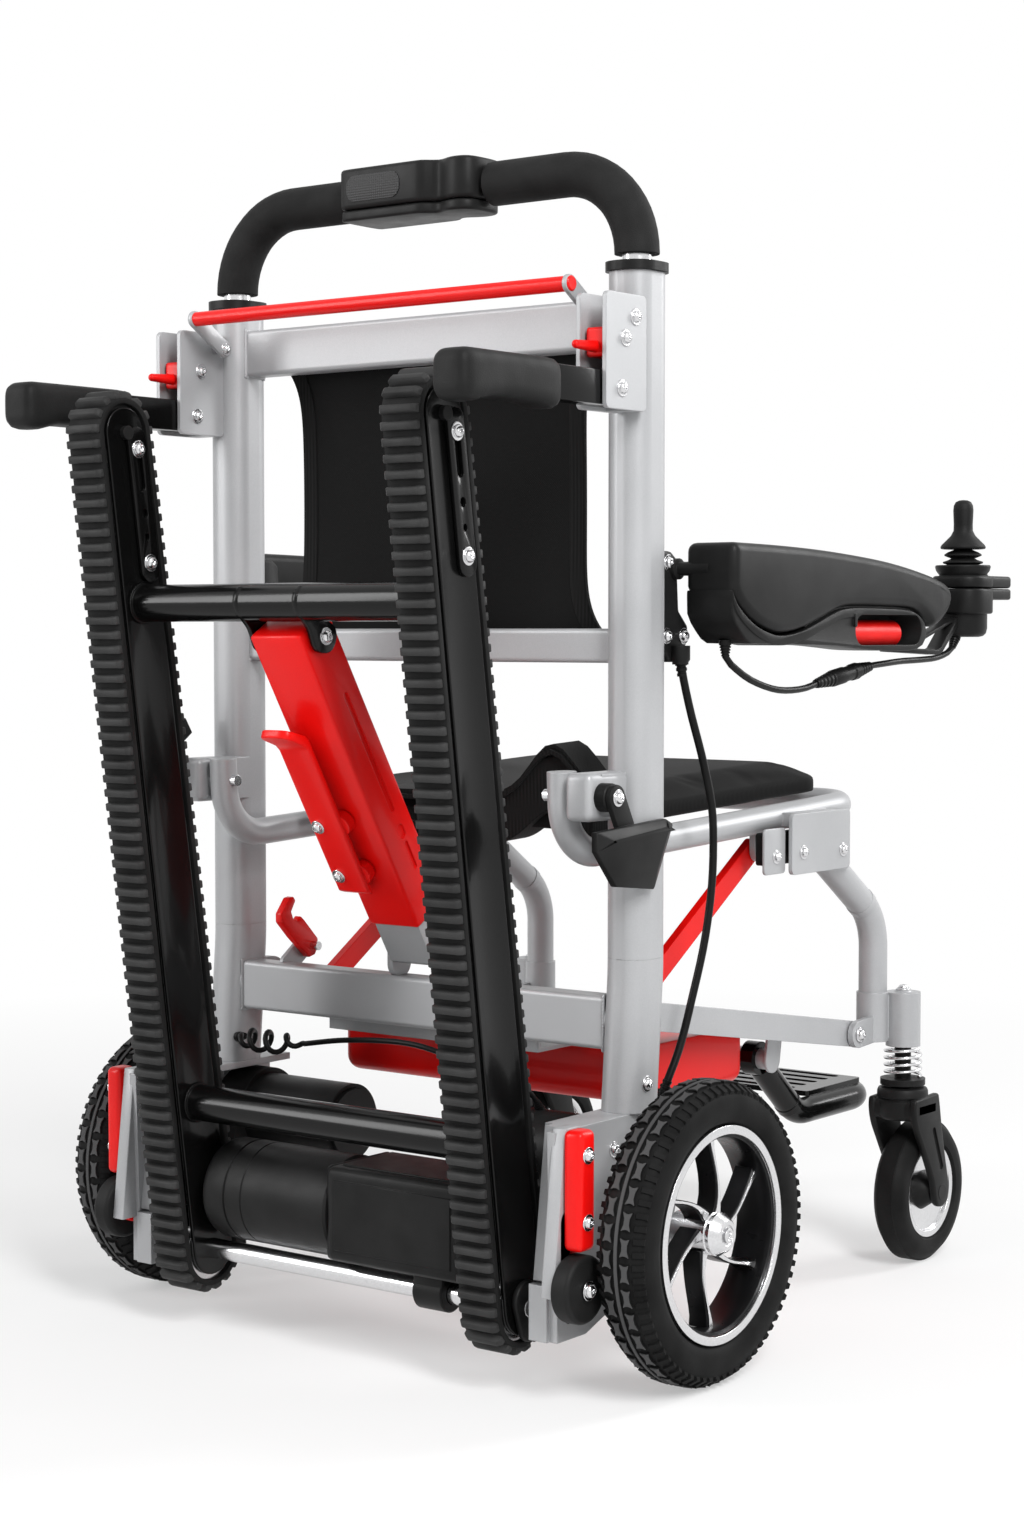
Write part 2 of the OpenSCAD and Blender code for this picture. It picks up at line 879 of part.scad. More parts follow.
module latch_levers() {
  latch_w = lift_gap - 2 * latch_side;
  color(red) both() difference() {
    union() {
      along_x(lift_x - latch_w / 2, lift_x + latch_w / 2)
        at([latch_y - latch_d / 2 + latch_h / 2, latch_z - latch_pin_r])
          soft_rect(latch_d, latch_h, latch_side);
      at([lift_x, latch_y, latch_tip_z])
        rotate([90, 0, 0]) cylinder(r1 = latch_root_r, r2 = latch_tip_r, h = latch_y - latch_tip_y);
      at([lift_x, latch_tip_y, latch_tip_z]) sphere(latch_tip_r);
    }
    rod_x(latch_pin_r + run, lift_x - lift_gap, lift_x + lift_gap, latch_y, latch_z);
  }
}

module release_bar() {
  color(red) {
    rod_x(rod_r, -release_arm_x - release_arm_t, release_arm_x + release_arm_t, rod_y, rod_z);
    both() difference() {
      along_x(release_arm_x, release_arm_x + release_arm_t)
        link([rod_y, rod_z], [release_y, release_z], release_arm_w);
      rod_x(latch_pin_r + run, release_arm_x - over, release_arm_x + release_arm_t + over,
        release_y, release_z);
    }
  }
}

module wheel_brackets() {
  d = bracket_front_y - bracket_rear_y;
  plate_end = bracket_out_x + bracket_out_t;
  color(silver) both() difference() {
    union() {
      along_x(bracket_out_x, plate_end)
        polygon([for (p = bracket_shares) [bracket_rear_y + p[0] * d, bracket_low_z + p[1] * bracket_h]]);
      along_x(bar_half, plate_end) at([post_top_y - post_d / 2, upright_foot_z - bracket_top_t])
        square([bracket_front_y - post_top_y + post_d / 2, bracket_top_t]);
      along_x(bracket_x0, bracket_out_x) {
        polygon([[post_top_y, upright_foot_z], [post_top_y - post_d, upright_foot_z],
            [post_low_y - post_d, post_low_z], [post_low_y, post_low_z]]);
        at([bracket_rear_y, bracket_low_z])
          square([block_front_y - bracket_rear_y, block_top_z - bracket_low_z]);
      }
    }
    rod_x(track_pin_r, bracket_x0 - over, plate_end + over, shaft_y, shaft_z);
    rod_x(axle_hole_r, bracket_x0 - over, plate_end + over, 0, axle_z);
  }
}

module roller_arms() {
  x0 = bracket_out_x + bracket_out_t;
  front_y = roller_y + roller_arm_d / 2;
  color(red) both() {
    along_x(x0, x0 + roller_arm_w) {
      at([roller_y, roller_arm_low_z])
        at([-roller_arm_d / 2, 0])
          square([roller_arm_d, roller_arm_top_z - roller_arm_low_z - roller_arm_d / 2]);
      at([roller_y, roller_arm_top_z - roller_arm_d / 2]) circle(roller_arm_d / 2);
    }
    along_x(x0, x0 + roller_arm_t)
      link([roller_y, roller_z], [roller_y, roller_arm_low_z + roller_tongue_r], 2 * roller_tongue_r);
    rod_x(pin_r, x0, x0 + roller_arm_t + 2 * roller_gap + roller_w + roller_gap, roller_y, roller_z);
  }
}

module stair_rollers() {
  x0 = bracket_out_x + bracket_out_t + roller_arm_t + roller_gap;
  color(rubber) both() turn_x(x0 + roller_w / 2, roller_y, roller_z) difference() {
    at([roller_r / 2, 0]) soft_rect(roller_r, roller_w, roller_crown);
    at([0, -roller_w]) square([pin_r + run, 2 * roller_w]);
  }
}

module drive_gearmotors() {
  color(black) both() difference() {
    union() {
      along_x(gearbox_x0, bracket_out_x) link([0, axle_z], [drive_y, drive_z], 2 * gearbox_r);
      rod_x(drive_r, drive_x0 + drive_rim, gearbox_x0, drive_y, drive_z);
      rod_x(drive_r - drive_rim, drive_x0, drive_x0 + drive_rim, drive_y, drive_z);
    }
    rod_x(axle_r + run, gearbox_x0 + over, bracket_out_x + over, 0, axle_z);
  }
}

module tyre(s) {
  depth = rear_wheel_d / 2 - rim_r;
  color(rubber) on_side(s) turn_x(wheel_x, 0, axle_z) difference() {
    at([rim_r + depth / 2, 0]) soft_rect(depth, rear_tyre_w, tyre_corner);
    for (j = [-1, 1]) at([rear_wheel_d / 2, j * tyre_groove_share * rear_tyre_w])
      square([2 * tyre_groove_t, tyre_groove_w], center = true);
  }
}

// Rim with curved spokes, hub and the axle that its gearbox turns
module rim(s) {
  face_x = wheel_x + rim_half - spoke_t;
  color(steel) on_side(s) {
    turn_x(wheel_x, 0, axle_z) {
      at([rim_r - rim_wall, -rim_half]) square([rim_wall, 2 * rim_half]);
      at([rim_r - rim_lip, rim_half - rim_face_t]) square([rim_lip, rim_face_t]);
    }
    at([face_x, 0, axle_z]) rotate([90, 0, 90]) linear_extrude(spoke_t - rim_face_t)
      for (i = [0 : spoke_count - 1])
      rotate(i * 360 / spoke_count) intersection() {
        at([0, spoke_r]) ring(spoke_r + spoke_w / 2, spoke_w);
        at([hub_r / 2, 0]) square([rim_r - rim_wall / 2 - hub_r / 2, spoke_r + spoke_w]);
        circle(rim_r - rim_wall / 2);
      }
    rod_x(hub_r, hub_x0, wheel_x + rim_half, 0, axle_z);
    rod_x(hub_cap_r, wheel_x, hub_cap_x1, 0, axle_z);
    rod_x(axle_r, gearbox_x0 + 2 * over, wheel_x, 0, axle_z);
  }
}

module belt_stalk(turn) {
  x0 = clevis_x1;
  at([0, pivot_y, pivot_z]) rotate([turn, 0, 0]) {
    rod_x(stalk_hub_r, x0, x0 + stalk_hub_t, 0, 0);
    along_x(x0 + stalk_hub_t, x0 + stalk_hub_t + stalk_t) link([0, 0], [stalk_len, 0], stalk_w);
    along_x(x0 + stalk_hub_t + stalk_t - gap, x0 + stalk_hub_t + stalk_t + wing_t) at([stalk_len, 0])
      polygon([for (p = wing_shares) [p[0] * wing_w, p[1] * wing_h]]);
  }
}

module belt_stalks() {
  color(black) {
    belt_stalk(stalk_turn_right);
    mirror([1, 0, 0]) belt_stalk(stalk_turn_left);
  }
}

module armrest_brackets() {
  gland_y = cable_route[0][1];
  color(black) both() difference() {
    union() {
      along_x(arm_bracket_x0, arm_bracket_x0 + arm_bracket_t)
        at([upright_front_y, arm_bracket_z0]) square([arm_bracket_d, arm_bracket_z1 - arm_bracket_z0]);
      rod_x(pin_r, arm_bracket_x0, arm_x - arm_w / 2 + arm_pin_len, arm_pivot_y, arm_pivot_z);
      at([cable_route[0][0], gland_y, arm_bracket_z0])
        cylinder(r1 = gland_low_r, r2 = gland_top_r, h = gland_h);
    }
    upright_solid(0, 0);
  }
}

function sling_half(t) =
  sling_half_mid + (sling_half_end - sling_half_mid) * pow(abs(2 * t - 1), sling_power);

module backrest_sling() {
  rise = sling_z1 - sling_z0;
  right = [for (i = [0 : sling_steps]) let (t = i / sling_steps) [sling_half(t), sling_z0 + rise * t]];
  left = [for (i = [sling_steps : -1 : 0]) [-right[i][0], right[i][1]]];
  color(black) along_y(bar_front_y + gap, bar_front_y + gap + sling_t) polygon(concat(right, left));
}

module battery_box() {
  top = battery_z1 - gap;
  color(red) {
    along_x(-battery_w / 2, battery_w / 2)
      polygon([[battery_y0, top], [battery_y0, battery_z0 + battery_bevel],
        [battery_y0 + battery_bevel, battery_z0], [battery_y1 - battery_bevel, battery_z0],
        [battery_y1, battery_z0 + battery_bevel], [battery_y1, top]]);
    for (i = [-1, 0, 1]) at([i * rib_pitch_share * rib_w, 0, 0])
      along_x(-rib_w / 2, rib_w / 2)
        at([battery_y0 + 2 * battery_bevel, battery_z0 - rib_t])
          square([battery_y1 - battery_y0 - 4 * battery_bevel, 2 * rib_t]);
  }
}

// Steel pins of the rear frame, each fixed in the piece that carries it
module pivot_pins() {
  lift_x0 = lift_x - lift_gap / 2 - lift_wall;
  lift_x1 = lift_x + lift_gap / 2 + lift_wall;
  seat_in = seat_x - seat_tube_d / 2;
  rail_in = rail_x - rail_w / 2;
  color(steel) {
    both() {
      rod_x(pin_r, seat_in - pin_r, clevis_x1, pivot_y, pivot_z);
      rod_x(pin_r, rail_in, bar_half + rail_lug_t - pin_r / 2, rail_rear_y, rail_rear_z);
      rod_x(pin_r, lift_x0, lift_x1, lift_pin_y, lift_pin_z);
      rod_x(latch_pin_r, lift_x0, lift_x1, latch_y, latch_z);
      rod_x(latch_pin_r, release_arm_x - gap, lift_x0 + lift_wall, release_y, release_z);
      rod_x(track_pin_r, belt_x + belt_w / 2 + track_wall, bracket_out_x + bracket_out_t, shaft_y, shaft_z);
    }
    rod_x(pin_r, -strut_lug_x - strut_lug_t, strut_lug_x + strut_lug_t, strut_low_y, strut_low_z);
    rod_x(latch_pin_r, hook_x - hook_t - gap - tray_t, hook_x + hook_t, hook_y, hook_z);
  }
}

module caster_stem(s) {
  color(black) on_side(s) at([caster_x, caster_y, 0]) {
    at([0, 0, stem_z0]) cylinder(r = stem_r, h = stem_z1 - stem_z0);
    at([0, 0, stem_seat_z0]) cylinder(r = stem_seat_r, h = stem_seat_z1 - stem_seat_z0);
  }
}

function coil_point(i, n, turns, radius, low, high) =
  [radius * cos(360 * turns * i / n), radius * sin(360 * turns * i / n), low + (high - low) * i / n];

// The open coil spring round a caster stem
spring_low = stem_seat_z1 + spring_wire / 2 + spring_end_gap;
spring_high = house_z0 - spring_wire / 2 - spring_end_gap;
spring_path = [for (i = [0 : spring_turns * ring_steps])
  coil_point(i, spring_turns * ring_steps, spring_turns, spring_r, spring_low, spring_high)];
spring_gap = min([for (i = [0 : len(spring_path) - 1], j = [0 : len(spring_path) - 1])
  if (j - i >= ring_steps / 2) norm(spring_path[i] - spring_path[j])]) - spring_wire;
echo(spring_gap = spring_gap);

module caster_spring(s) {
  color(steel) on_side(s) at([caster_x, caster_y, 0]) sweep(spring_path, spring_wire / 2, wire_sides);
}

module caster_fork(s) {
  axle_y = caster_y + caster_trail;
  inner = caster_w / 2 + fork_gap;
  color(black) on_side(s) difference() {
    union() {
      at([caster_x, caster_y, crown_z0]) cylinder(r = crown_r, h = crown_z1 - crown_z0);
      along_x(caster_x - inner - fork_t, caster_x + inner + fork_t)
        at([caster_y - crown_r / 2, crown_z0])
          square([caster_trail + crown_r / 2, (crown_z1 - crown_z0) / 2]);
      for (x = [caster_x - inner - fork_t, caster_x + inner]) along_x(x, x + fork_t) {
        polygon([[caster_y - crown_r / 2, (crown_z0 + crown_z1) / 2], [axle_y, (crown_z0 + crown_z1) / 2],
            [axle_y + fork_end_r, caster_d / 2], [axle_y - fork_end_r, caster_d / 2]]);
        at([axle_y, caster_d / 2]) circle(fork_end_r);
      }
      rod_x(caster_axle_r, caster_x - inner - fork_t, caster_x + inner + fork_t, axle_y, caster_d / 2);
    }
    at([caster_x, caster_y, stem_z0 - gap]) cylinder(r = stem_r + run, h = crown_z1 - stem_z0 + over);
  }
}

module caster_wheel(s) {
  depth = caster_d / 2 - caster_rim_r;
  color(rubber) on_side(s) turn_x(caster_x, caster_y + caster_trail, caster_d / 2) {
    at([caster_rim_r + depth / 2, 0]) soft_rect(depth, caster_w, caster_round_share * depth);
    at([caster_hub_r, -caster_w / 2 + caster_rim_in])
      square([caster_rim_r - caster_hub_r + caster_rim_in, caster_w - 2 * caster_rim_in]);
    at([caster_axle_r + run, -caster_w / 2]) square([caster_hub_r - caster_axle_r - run, caster_w]);
  }
}

module seat_frame() {
  tube_r = seat_tube_d / 2;
  block_z1 = plate_z1;
  color(silver) {
    difference() {
      in_seat() {
        both() {
          tube_yz(seat_x, [0, 0], [seat_len - seat_corner_r, 0], tube_r, tube_wall);
          elbow_yz(seat_x, [0, seat_hook_r], seat_hook_r, 180, 90, tube_r, tube_wall);
          tube_yz(seat_x, [-seat_hook_r, seat_hook_r], [-seat_hook_r, seat_hook_n], tube_r,
            tube_r - over / 4);
          at([seat_x - seat_corner_r, seat_len - seat_corner_r, 0]) rotate_extrude(angle = 90)
            at([seat_corner_r, 0]) ring(tube_r, tube_wall);
        }
        at([seat_corner_r - seat_x, seat_len, 0]) rotate([0, 90, 0])
          linear_extrude(2 * (seat_x - seat_corner_r)) ring(tube_r, tube_wall);
      }
      both() rod_x(pin_r + run, seat_x - seat_tube_d, bar_half + over, pivot_y, pivot_z);
    }
    both() {
      along_x(plate_x, plate_x + plate_t) at([(plate_y0 + plate_y1) / 2, (plate_z0 + plate_z1) / 2])
        soft_rect(plate_y1 - plate_y0, plate_z1 - plate_z0, plate_corner);
      along_x(seat_x + tube_r - tube_wall, plate_x)
        at([plate_y0 + plate_block_inset, block_z1 - plate_block_h])
          square([plate_y1 - plate_y0 - 2 * plate_block_inset, plate_block_h]);
      rod_x(pin_r, leg_x - leg_d / 2, plate_x + plate_t, leg_pin_y, leg_pin_z);
      difference() {
        along_x(brace_x + brace_t / 2 + hanger_gap, brace_x + brace_t / 2 + hanger_gap + hanger_t)
          link([brace_y, brace_z], [brace_y, seat_z + (brace_y - seat_y) * tan(seat_tilt) - hanger_t],
            hanger_w);
        in_seat() rotate([-90, 0, 0]) at([seat_x, 0, 0]) cylinder(r = tube_r - tube_wall / 2, h = seat_len);
      }
      rod_x(brace_pin_r, brace_x - brace_t, brace_x + brace_t / 2 + 2 * hanger_gap, brace_y, brace_z);
    }
  }
}

// Height of the cushion's top, fullest in the middle and falling to its edge
function crown(u, v) = cushion_edge + (cushion_t - cushion_edge) * (1 - pow(u, 6)) * (1 - pow(v, 6));

module seat_cushion() {
  n = cushion_steps;
  base = seat_tube_d / 2 + cushion_seat_gap;
  half_l = (cushion_s1 - cushion_s0) / 2;
  mid_s = (cushion_s0 + cushion_s1) / 2;
  shares = [for (i = [0 : n]) 2 * i / n - 1];
  function spot(u, v, z) = [u * cushion_w / 2 * (1 - cushion_pull_share * (1 - v * v)),
              mid_s + v * half_l * (1 - cushion_pull_share * (1 - u * u)), z];
  top = [for (v = shares, u = shares) spot(u, v, base + crown(u, v))];
  low = [for (v = shares, u = shares) spot(u, v, base)];
  m = (n + 1) * (n + 1);
  function id(i, j) = j * (n + 1) + i;
  faces = [for (i = [0 : n - 1], j = [0 : n - 1]) each [
    [id(i, j), id(i + 1, j + 1), id(i + 1, j)], [id(i, j), id(i, j + 1), id(i + 1, j + 1)],
    [m + id(i, j), m + id(i + 1, j), m + id(i + 1, j + 1)],
    [m + id(i, j), m + id(i + 1, j + 1), m + id(i, j + 1)]]];
  rim = [for (i = [0 : n - 1]) each [
    [id(i, 0), id(i + 1, 0), m + id(i + 1, 0)], [id(i, 0), m + id(i + 1, 0), m + id(i, 0)],
    [id(i + 1, n), id(i, n), m + id(i, n)], [id(i + 1, n), m + id(i, n), m + id(i + 1, n)],
    [id(0, i + 1), id(0, i), m + id(0, i)], [id(0, i + 1), m + id(0, i), m + id(0, i + 1)],
    [id(n, i), id(n, i + 1), m + id(n, i + 1)], [id(n, i), m + id(n, i + 1), m + id(n, i)]]];
  strap_n = base + crown(0, (belt_strap_s + belt_strap_w - mid_s) / half_l) - belt_strap_sink;
  function hump(t) = belt_hump * pow(sin(180 * t), 2);
  function strap_at(t, up) = [belt_strap_x0 + (belt_strap_x1 - belt_strap_x0) * t, strap_n + hump(t) + up];
  color(black) in_seat() {
    polyhedron(concat(top, low), concat(faces, rim));
    along_y(belt_strap_s, belt_strap_s + belt_strap_w)
      polygon(concat([for (i = [0 : belt_steps]) strap_at(i / belt_steps, 0)],
              [for (i = [belt_steps : -1 : 0]) strap_at(i / belt_steps, belt_strap_t)]));
  }
}

// Where a brace meets its rail
brace_low_y = rail_rear_y + brace_rail_s * cos(rail_slope);
brace_low_z = rail_rear_z + brace_rail_s * sin(rail_slope);

module braces() {
  color(red) both() {
    difference() {
      along_x(brace_x - brace_t / 2, brace_x + brace_t / 2)
        link([brace_y, brace_z], [brace_low_y, brace_low_z], brace_w);
      rod_x(brace_pin_r + run, brace_x - brace_t, brace_x + brace_t, brace_y, brace_z);
    }
    rod_x(brace_pin_r, brace_x, rail_x - rail_w / 2 - hanger_gap / 2, brace_low_y, brace_low_z);
  }
}

module side_rails() {
  half = rail_h / 2;
  foot_s = (foot_pivot_y - rail_rear_y) * cos(rail_slope) + (foot_pivot_z - rail_rear_z) * sin(rail_slope);
  foot_n = (foot_pivot_z - rail_rear_z) * cos(rail_slope) - (foot_pivot_y - rail_rear_y) * sin(rail_slope);
  x0 = rail_x - rail_w / 2;
  color(silver) {
    both() in_rail() difference() {
      union() {
        along_x(x0, x0 + rail_w) link([0, 0], [rail_len, 0], rail_h);
        along_x(x0, x0 + rail_wall) link([foot_s, 0], [foot_s, foot_n], rail_h);
      }
      along_x(x0 + rail_wall, x0 + rail_w - rail_wall)
        at([rail_h, -half + rail_wall]) square([rail_len - 2 * rail_h, rail_h - 2 * rail_wall]);
      at([rail_x - rail_slot_w / 2, rail_slot_s0, 0])
        cube([rail_slot_w, rail_slot_s1 - rail_slot_s0, rail_h]);
      rod_x(pin_r + run, x0 - over, x0 + rail_w + over, 0, 0);
      rod_x(pin_r + run, x0 - over, x0 + rail_w + over, rail_len, 0);
    }
    rod_x(foot_axle_r, -x0 + gap, x0 - gap, foot_pivot_y, foot_pivot_z);
  }
}

module front_legs() {
  r = leg_d / 2;
  centre = [leg_bend_y - leg_bend_r, leg_bend_z];
  reach = [leg_pin_y, leg_pin_z] - centre;
  turn = atan2(reach[1], reach[0]) - acos(leg_bend_r / norm(reach));
  slope = 90 - turn;
  along = [cos(slope), -sin(slope)];
  lug_x = rail_x + rail_w / 2 + hanger_gap;
  start = centre + leg_bend_r * [cos(turn), sin(turn)];
  color(silver) both() difference() {
    union() {
      tube_yz(leg_x, [leg_pin_y, leg_pin_z], start - seam * along, r, leg_wall);
      tube_yz(leg_x, start - seam_half * along, start + seam_half * along, r + seam, leg_wall / 2 + seam);
      elbow_yz(leg_x, centre, leg_bend_r, 0, turn, r, leg_wall);
      tube_yz(leg_x, [leg_bend_y, sleeve_z0], [leg_bend_y, leg_bend_z], r, leg_wall);
      rod_x(leg_boss_r, leg_x - r - seam, leg_x + r + seam, leg_pin_y, leg_pin_z);
      at([leg_x, leg_bend_y, sleeve_z0]) cylinder(r = sleeve_r, h = sleeve_z1 - sleeve_z0);
      along_x(lug_x, lug_x + leg_lug_t)
        link([rail_pin_y, rail_pin_z], [leg_bend_y, rail_pin_z + leg_wall], leg_lug_w);
      rod_x(pin_r, rail_x - rail_w / 2, lug_x + leg_lug_t / 2, rail_pin_y, rail_pin_z);
      at([caster_x, caster_y, house_z0]) cylinder(r = house_r, h = house_z1 - house_z0);
      at([caster_x, caster_y, house_z1]) cylinder(r1 = house_cap_r, r2 = house_cap_r / 2, h = house_cap_t);
      at([0, 0, sleeve_z0 + leg_wall]) linear_extrude(sleeve_z1 - sleeve_z0 - 2 * leg_wall)
        link([leg_x, leg_bend_y], [caster_x, caster_y], sleeve_r);
    }
    rod_x(pin_r + run, leg_x - leg_d, leg_x + leg_d, leg_pin_y, leg_pin_z);
    at([leg_x, leg_bend_y, sleeve_z0 - over])
      cylinder(r = r - leg_wall - gap, h = sleeve_z1 - sleeve_z0 + 2 * over);
    at([caster_x, caster_y, house_z0 - over]) cylinder(r = stem_r + run, h = house_z1 - house_z0);
  }
}

module footrest_hoop() {
  r = foot_d / 2;
  p0 = [foot_pivot_y, foot_pivot_z];
  p1 = [foot_low_y, foot_low_z];
  p2 = [foot_front_y, foot_low_z];
  a0 = atan2(p1[1] - p0[1], p1[0] - p0[0]);
  u0 = [cos(a0), sin(a0)];
  cut = foot_bend_r * tan(-a0 / 2);
  s0 = p1 - cut * u0;
  s1 = p1 + [cut, 0];
  centre = s0 + foot_bend_r * [-sin(a0), cos(a0)];
  s2 = p2 - [foot_bend_r, 0];
  root = p0 + (foot_axle_r + foot_wall) * u0;
  color(black) difference() {
    union() {
      both() {
        tube_yz(foot_x, root, s0 - seam * u0, r, foot_wall);
        tube_yz(foot_x, s0 - seam_half * u0, s0 + seam_half * u0, r + seam, foot_wall / 2 + seam);
        elbow_yz(foot_x, centre, foot_bend_r, -90, a0, r, foot_wall);
        tube_yz(foot_x, s1, s2, r, foot_wall);
        at([foot_x - foot_bend_r, s2[0], s2[1]]) rotate_extrude(angle = 90)
          at([foot_bend_r, 0]) ring(r, foot_wall);
        rod_x(foot_boss_r, foot_x - foot_boss_w / 2, foot_x + foot_boss_w / 2, foot_pivot_y, foot_pivot_z);
      }
      at([foot_bend_r - foot_x, p2[0], p2[1]]) rotate([0, 90, 0])
        linear_extrude(2 * (foot_x - foot_bend_r)) ring(r, foot_wall);
    }
    rod_x(foot_axle_r + run, -foot_x - foot_d, foot_x + foot_d, foot_pivot_y, foot_pivot_z);
  }
}

module footrest() {
  footrest_hoop();
  footplate();
}

module footplate() {
  r = foot_d / 2;
  mid_y = (footplate_y0 + footplate_y1) / 2;
  plate_d = footplate_y1 - footplate_y0;
  plate_z = foot_low_z + r;
  pitch = plate_d / treads;
  color(black) at([0, mid_y, plate_z]) linear_extrude(footplate_t) difference() {
    soft_rect(2 * foot_x, plate_d, footplate_t);
    for (i = [0 : treads - 1]) at([0, (i + 0.5) * pitch - plate_d / 2])
      for (j = [-1, 1]) at([j * foot_x / 2, 0])
        soft_rect(tread_share * foot_x, tread_w, tread_corner);
  }
}

// The handle's hoop from a foot at low_z up over the top
module hoop(r, wall, low_z) {
  both() {
    at([upright_x, upright_y, low_z]) linear_extrude(handle_z - handle_bend - low_z) ring(r, wall);
    at([upright_x - handle_bend, upright_y, handle_z - handle_bend]) rotate([90, 0, 0])
      rotate_extrude(angle = 90) at([handle_bend, 0]) ring(r, wall);
  }
  at([handle_bend - upright_x, upright_y, handle_z]) rotate([0, 90, 0])
    linear_extrude(2 * (upright_x - handle_bend)) ring(r, wall);
}

module handle_tube() {
  color(steel) hoop(handle_d / 2, tube_wall, handle_low_z);
}

module handle_foam() {
  color(rubber) difference() {
    hoop(foam_d / 2, (foam_d - handle_d) / 2 - gap, foam_end_z);
    at([case_x0 - gap, upright_y - foam_d, handle_z - foam_d])
      cube([case_w + 2 * gap, 2 * foam_d, 2 * foam_d]);
  }
}

module case_outline(inset) {
  d = case_front_y - case_rear_y;
  mid_y = (case_front_y + case_rear_y) / 2;
  wide = neck_share * case_w;
  at([case_x0 + wide / 2, mid_y]) soft_rect(wide - 2 * inset, d - 2 * inset, case_corner);
  at([case_x0 + case_w / 2, mid_y])
    soft_rect(case_w - 2 * inset, d - 2 * neck_in - 2 * inset, case_corner);
}

module control_case() {
  lid_z = case_top_z - case_lid_t;
  mid_y = (case_front_y + case_rear_y) / 2;
  color(black) difference() {
    union() {
      at([0, 0, case_low_z]) linear_extrude(lid_z - case_low_z) case_outline(0);
      at([0, 0, lid_z]) linear_extrude(case_lid_t - switch_gap) case_outline(case_lid_in / 2);
      at([case_x0 + neck_share * case_w / 2, mid_y, lid_z]) linear_extrude(case_lid_t)
        soft_rect(neck_share * case_w - 2 * case_lid_in, case_front_y - case_rear_y - 2 * case_lid_in,
          case_corner);
    }
    at([case_x0 - over, upright_y, handle_z]) rotate([0, 90, 0])
      cylinder(d = handle_d + gap, h = case_w + 2 * over);
    at([switch_x, mid_y, case_top_z - switch_pocket])
      linear_extrude(switch_pocket + over)
        square([switch_w + 2 * switch_gap, switch_d + 2 * switch_gap], center = true);
    at([switch_x, mid_y, case_top_z - switch_pocket / 2]) rotate([90, 0, 0])
      cylinder(r = switch_pin_r + run, h = switch_d + 4 * switch_gap, center = true);
  }
}

module climb_switch() {
  mid_y = (case_front_y + case_rear_y) / 2;
  base = case_top_z - switch_h;
  color(red) {
    at([switch_x, mid_y, 0]) along_y(-switch_d / 2, switch_d / 2)
      polygon([[-switch_w / 2, base + switch_gap], [0, base - switch_gap / 2],
        [switch_w / 2, base + switch_gap], [switch_w / 2, case_top_z - switch_gap],
        [0, case_top_z - 2 * switch_gap], [-switch_w / 2, case_top_z - switch_gap]]);
    at([switch_x, mid_y, case_top_z - switch_pocket / 2]) rotate([90, 0, 0])
      cylinder(r = switch_pin_r, h = switch_d + 3 * switch_gap, center = true);
  }
}

function arm_point(p) = [arm_y + p[0] * arm_len, arm_bottom_z + p[1] * (arm_top_z - arm_bottom_z)];

// The armrest's rear is round about its hinge, so that it clears the upright as it swings up
module arm_rear_round() {
  at([arm_pivot_y, arm_pivot_z]) circle(arm_back_r);
}

module arm_plan() {
  straight = arm_len - arm_w / 2;
  at([arm_x - arm_w / 2, arm_y - arm_back_r]) square([arm_w, straight + arm_back_r]);
  at([arm_x, arm_y + straight]) circle(arm_w / 2);
}

module armrest(s) {
  split = [for (p = arm_split_shares) arm_point(p)];
  rise = [for (i = [len(arm_top_shares) - 1 : -1 : 0]) arm_point(arm_top_shares[i])];
  low = [for (i = [len(arm_low_shares) - 1 : -1 : 0]) arm_point(arm_low_shares[i])];
  x0 = arm_x - arm_w / 2;
  lever_y0 = arm_y + lever_y0_share * arm_len - lever_room;
  lever_y1 = arm_y + lever_y1_share * arm_len + lever_room;
  color(black) on_side(s) {
    along_y(lever_y0 - over, lever_y1 + over) at([lever_x, lever_z]) circle(lever_pin_r);
    difference() {
      union() {
        intersection() {
          along_x(x0, x0 + arm_w) difference() {
            polygon(concat(split, rise));
            difference() {
              at([arm_y - over, arm_pivot_z]) square([arm_pivot_y - arm_y + over, arm_top_z]);
              arm_rear_round();
            }
          }
          at([0, 0, arm_bottom_z - over]) linear_extrude(arm_top_z) arm_plan();
        }
        intersection() {
          along_x(x0 + gap, x0 + arm_w - gap) polygon(concat(split, low));
          at([0, 0, arm_bottom_z - arm_w]) linear_extrude(arm_top_z) arm_plan();
        }
      }
      rod_x(pin_r + run, x0 - over, x0 + arm_pin_len + 2 * run, arm_pivot_y, arm_pivot_z);
      along_y(lever_y0, lever_y1) {
        at([lever_x - lever_r - lever_room, lever_z - 2 * lever_r])
          square([arm_w + lever_r, 3 * lever_r + 2 * lever_room]);
      }
    }
  }
}

module armrest_lever(s) {
  y0 = arm_y + lever_y0_share * arm_len;
  y1 = arm_y + lever_y1_share * arm_len;
  x1 = arm_x + arm_w / 2 - lever_r;
  color(red) on_side(s) along_y(y0, y1) difference() {
    union() {
      link([lever_x, lever_z], [x1, lever_z], 2 * lever_r - 4 * lever_room);
      at([x1 - lever_room, lever_z]) circle(lever_r - lever_room);
    }
    at([lever_x, lever_z]) circle(lever_pin_r + run);
  }
}

